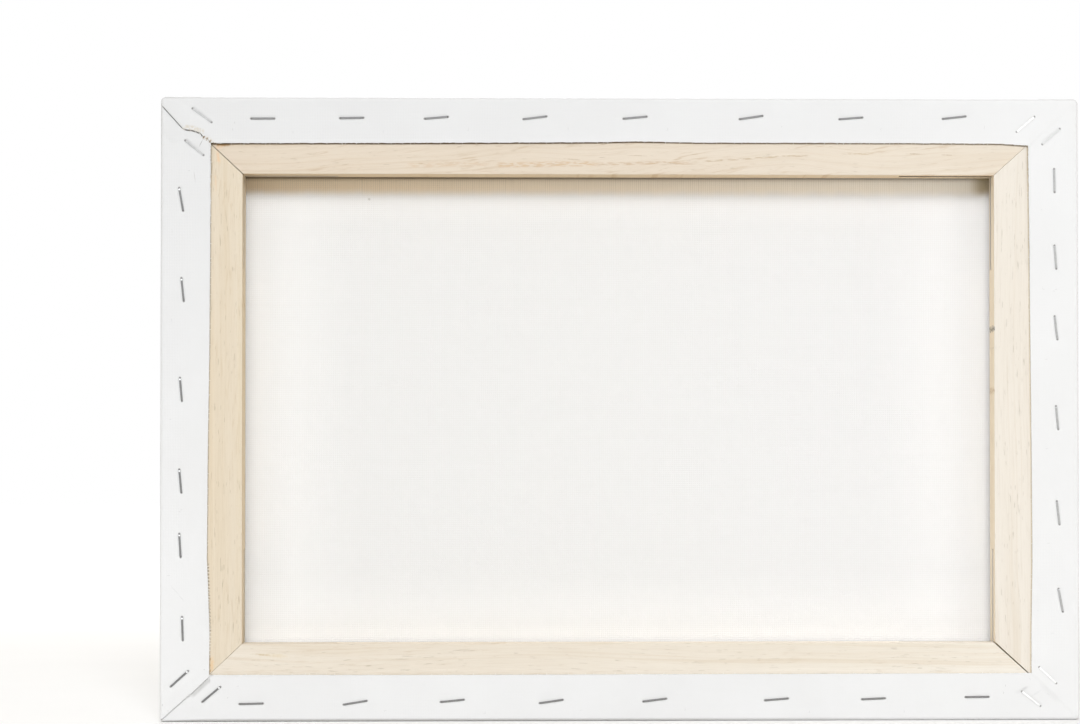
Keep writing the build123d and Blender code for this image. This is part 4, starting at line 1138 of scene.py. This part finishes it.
# painted reflection: each group of staples gets its own wire tone and metal, near white and not metallic where the
# crowns stand in for a bright highlight, dark grey on the rows
WIRE = {
    "staples_top": (0.24, 0.5), "staples_bottom": (0.24, 0.5), "staples_right": (0.24, 0.5), "staples_left": (0.46, 0.5),
    "corner_staples_top_right": (0.52, 0.4), "corner_staples_bottom_right": (0.22, 0.5),
    "corner_staples_top_left": (0.95, 0.0), "corner_staples_bottom_left": (0.95, 0.0),
}
BRIGHT_END = {"corner_staples_bottom_right": [(c, -4.9) for c in CORNERS[2:4]], "staples_right": [(c, 4.9) for c in ROW_RIGHT]}
for name, (tone, metal) in WIRE.items():
    shine = [(cx + u * math.cos(math.radians(t)), cz + u * math.sin(math.radians(t))) for (cx, cz, t), u in BRIGHT_END.get(name, [])]
    nodes[name].data.materials.clear()
    nodes[name].data.materials.append(steel("wire_" + name, tone, metal, shine, [CORNERS[5][:2]] if name == "corner_staples_top_left" else []))


# ------------------------------------------------------------------ floor and light
def make_floor():
    bm = bmesh.new()
    size = 9.0
    n = 36
    grid = [[bm.verts.new((-size + 2 * size * i / n, -size + 2 * size * j / n, 0.0)) for j in range(n + 1)] for i in range(n + 1)]
    for i in range(n):
        for j in range(n):
            bm.faces.new((grid[i][j], grid[i + 1][j], grid[i + 1][j + 1], grid[i][j + 1]))
    data = bpy.data.meshes.new("floor")
    bm.to_mesh(data)
    bm.free()
    obj = bpy.data.objects.new("floor", data)
    scene.collection.objects.link(obj)
    obj.location.z = -0.00008
    g = Graph("pale_floor")
    o = g.object()
    r = g.m("SQRT", g.m("ADD", g.m("MULTIPLY", o[0], o[0]), g.m("MULTIPLY", o[1], o[1])))
    far = g.ramp(r, 0.7, 2.6)
    n = g.noise(g.vec(g.m("MULTIPLY", o[0], 8.0), g.m("MULTIPLY", o[1], 8.0), 0.0), 1.0, 3.0)
    color = g.mix(n, (0.90, 0.90, 0.90), (0.93, 0.93, 0.93))
    d = g.node("ShaderNodeBsdfDiffuse")
    g.put(d.inputs["Color"], color)
    e = g.node("ShaderNodeEmission")
    e.inputs["Color"].default_value = (1, 1, 1, 1)
    seen = g.node("ShaderNodeLightPath")
    g.put(e.inputs["Strength"], g.m("MULTIPLY", seen.outputs["Is Camera Ray"], 1.03))
    mix = g.node("ShaderNodeMixShader")
    g.put(mix.inputs[0], far)
    g.t.links.new(d.outputs[0], mix.inputs[1])
    g.t.links.new(e.outputs[0], mix.inputs[2])
    g.t.links.new(mix.outputs[0], g.out.inputs[0])
    obj.data.materials.append(g.mat)
    return obj


make_floor()


def area(name, place, aim, size, size_y, watts, color=(1, 1, 1)):
    data = bpy.data.lights.new(name, "AREA")
    data.shape = "RECTANGLE"
    data.size, data.size_y = size, size_y
    data.energy = watts
    data.color = color
    obj = bpy.data.objects.new(name, data)
    scene.collection.objects.link(obj)
    obj.location = place
    obj.rotation_euler = (Vector(aim) - Vector(place)).to_track_quat("-Z", "Y").to_euler()
    return obj


centre = (0.0, 0.0, 0.15)


def around(azimuth, elevation, distance):
    """A place round the object: azimuth from the back's normal towards +X, degrees."""
    a, e = math.radians(azimuth), math.radians(elevation)
    return (distance * math.sin(a) * math.cos(e), distance * math.cos(a) * math.cos(e), 0.15 + distance * math.sin(e))


KEY, AMBIENT = (0.955, 1.0, 1.060), (1.05, 1.0, 0.920)
area("key", around(-4, 28, 4.0), centre, 1.0, 0.9, 43.4, KEY)
area("key_side", around(12, 31, 4.0), centre, 0.9, 0.9, 20.9, KEY)
area("upper", around(0, 38, 3.0), centre, 1.2, 1.0, 14.3, KEY)
area("fill", around(-50, 10, 1.8), centre, 0.6, 0.6, 3.4, AMBIENT)
area("fill_other", around(50, 10, 1.8), centre, 0.6, 0.6, 1.8, AMBIENT)
area("overhead", (0.0, -0.35, 2.4), (0.0, -0.35, 0.0), 3.2, 3.0, 4.6)
area("front", (0.4, -2.8, 1.3), centre, 1.4, 1.2, 42.0)

world = bpy.data.worlds.new("studio")
scene.world = world
world.use_nodes = True
wt = world.node_tree
wt.nodes.clear()
w_out = wt.nodes.new("ShaderNodeOutputWorld")
w_mix = wt.nodes.new("ShaderNodeMixShader")
w_path = wt.nodes.new("ShaderNodeLightPath")
w_light = wt.nodes.new("ShaderNodeBackground")
w_seen = wt.nodes.new("ShaderNodeBackground")
w_light.inputs[0].default_value = (*AMBIENT, 1.0)
w_light.inputs[1].default_value = 0.529
w_seen.inputs[0].default_value = (1, 1, 1, 1)
w_seen.inputs[1].default_value = 1.0
wt.links.new(w_path.outputs["Is Camera Ray"], w_mix.inputs[0])
wt.links.new(w_light.outputs[0], w_mix.inputs[1])
wt.links.new(w_seen.outputs[0], w_mix.inputs[2])
wt.links.new(w_mix.outputs[0], w_out.inputs[0])
scene.view_settings.view_transform = "Standard"
scene.view_settings.look = "None"
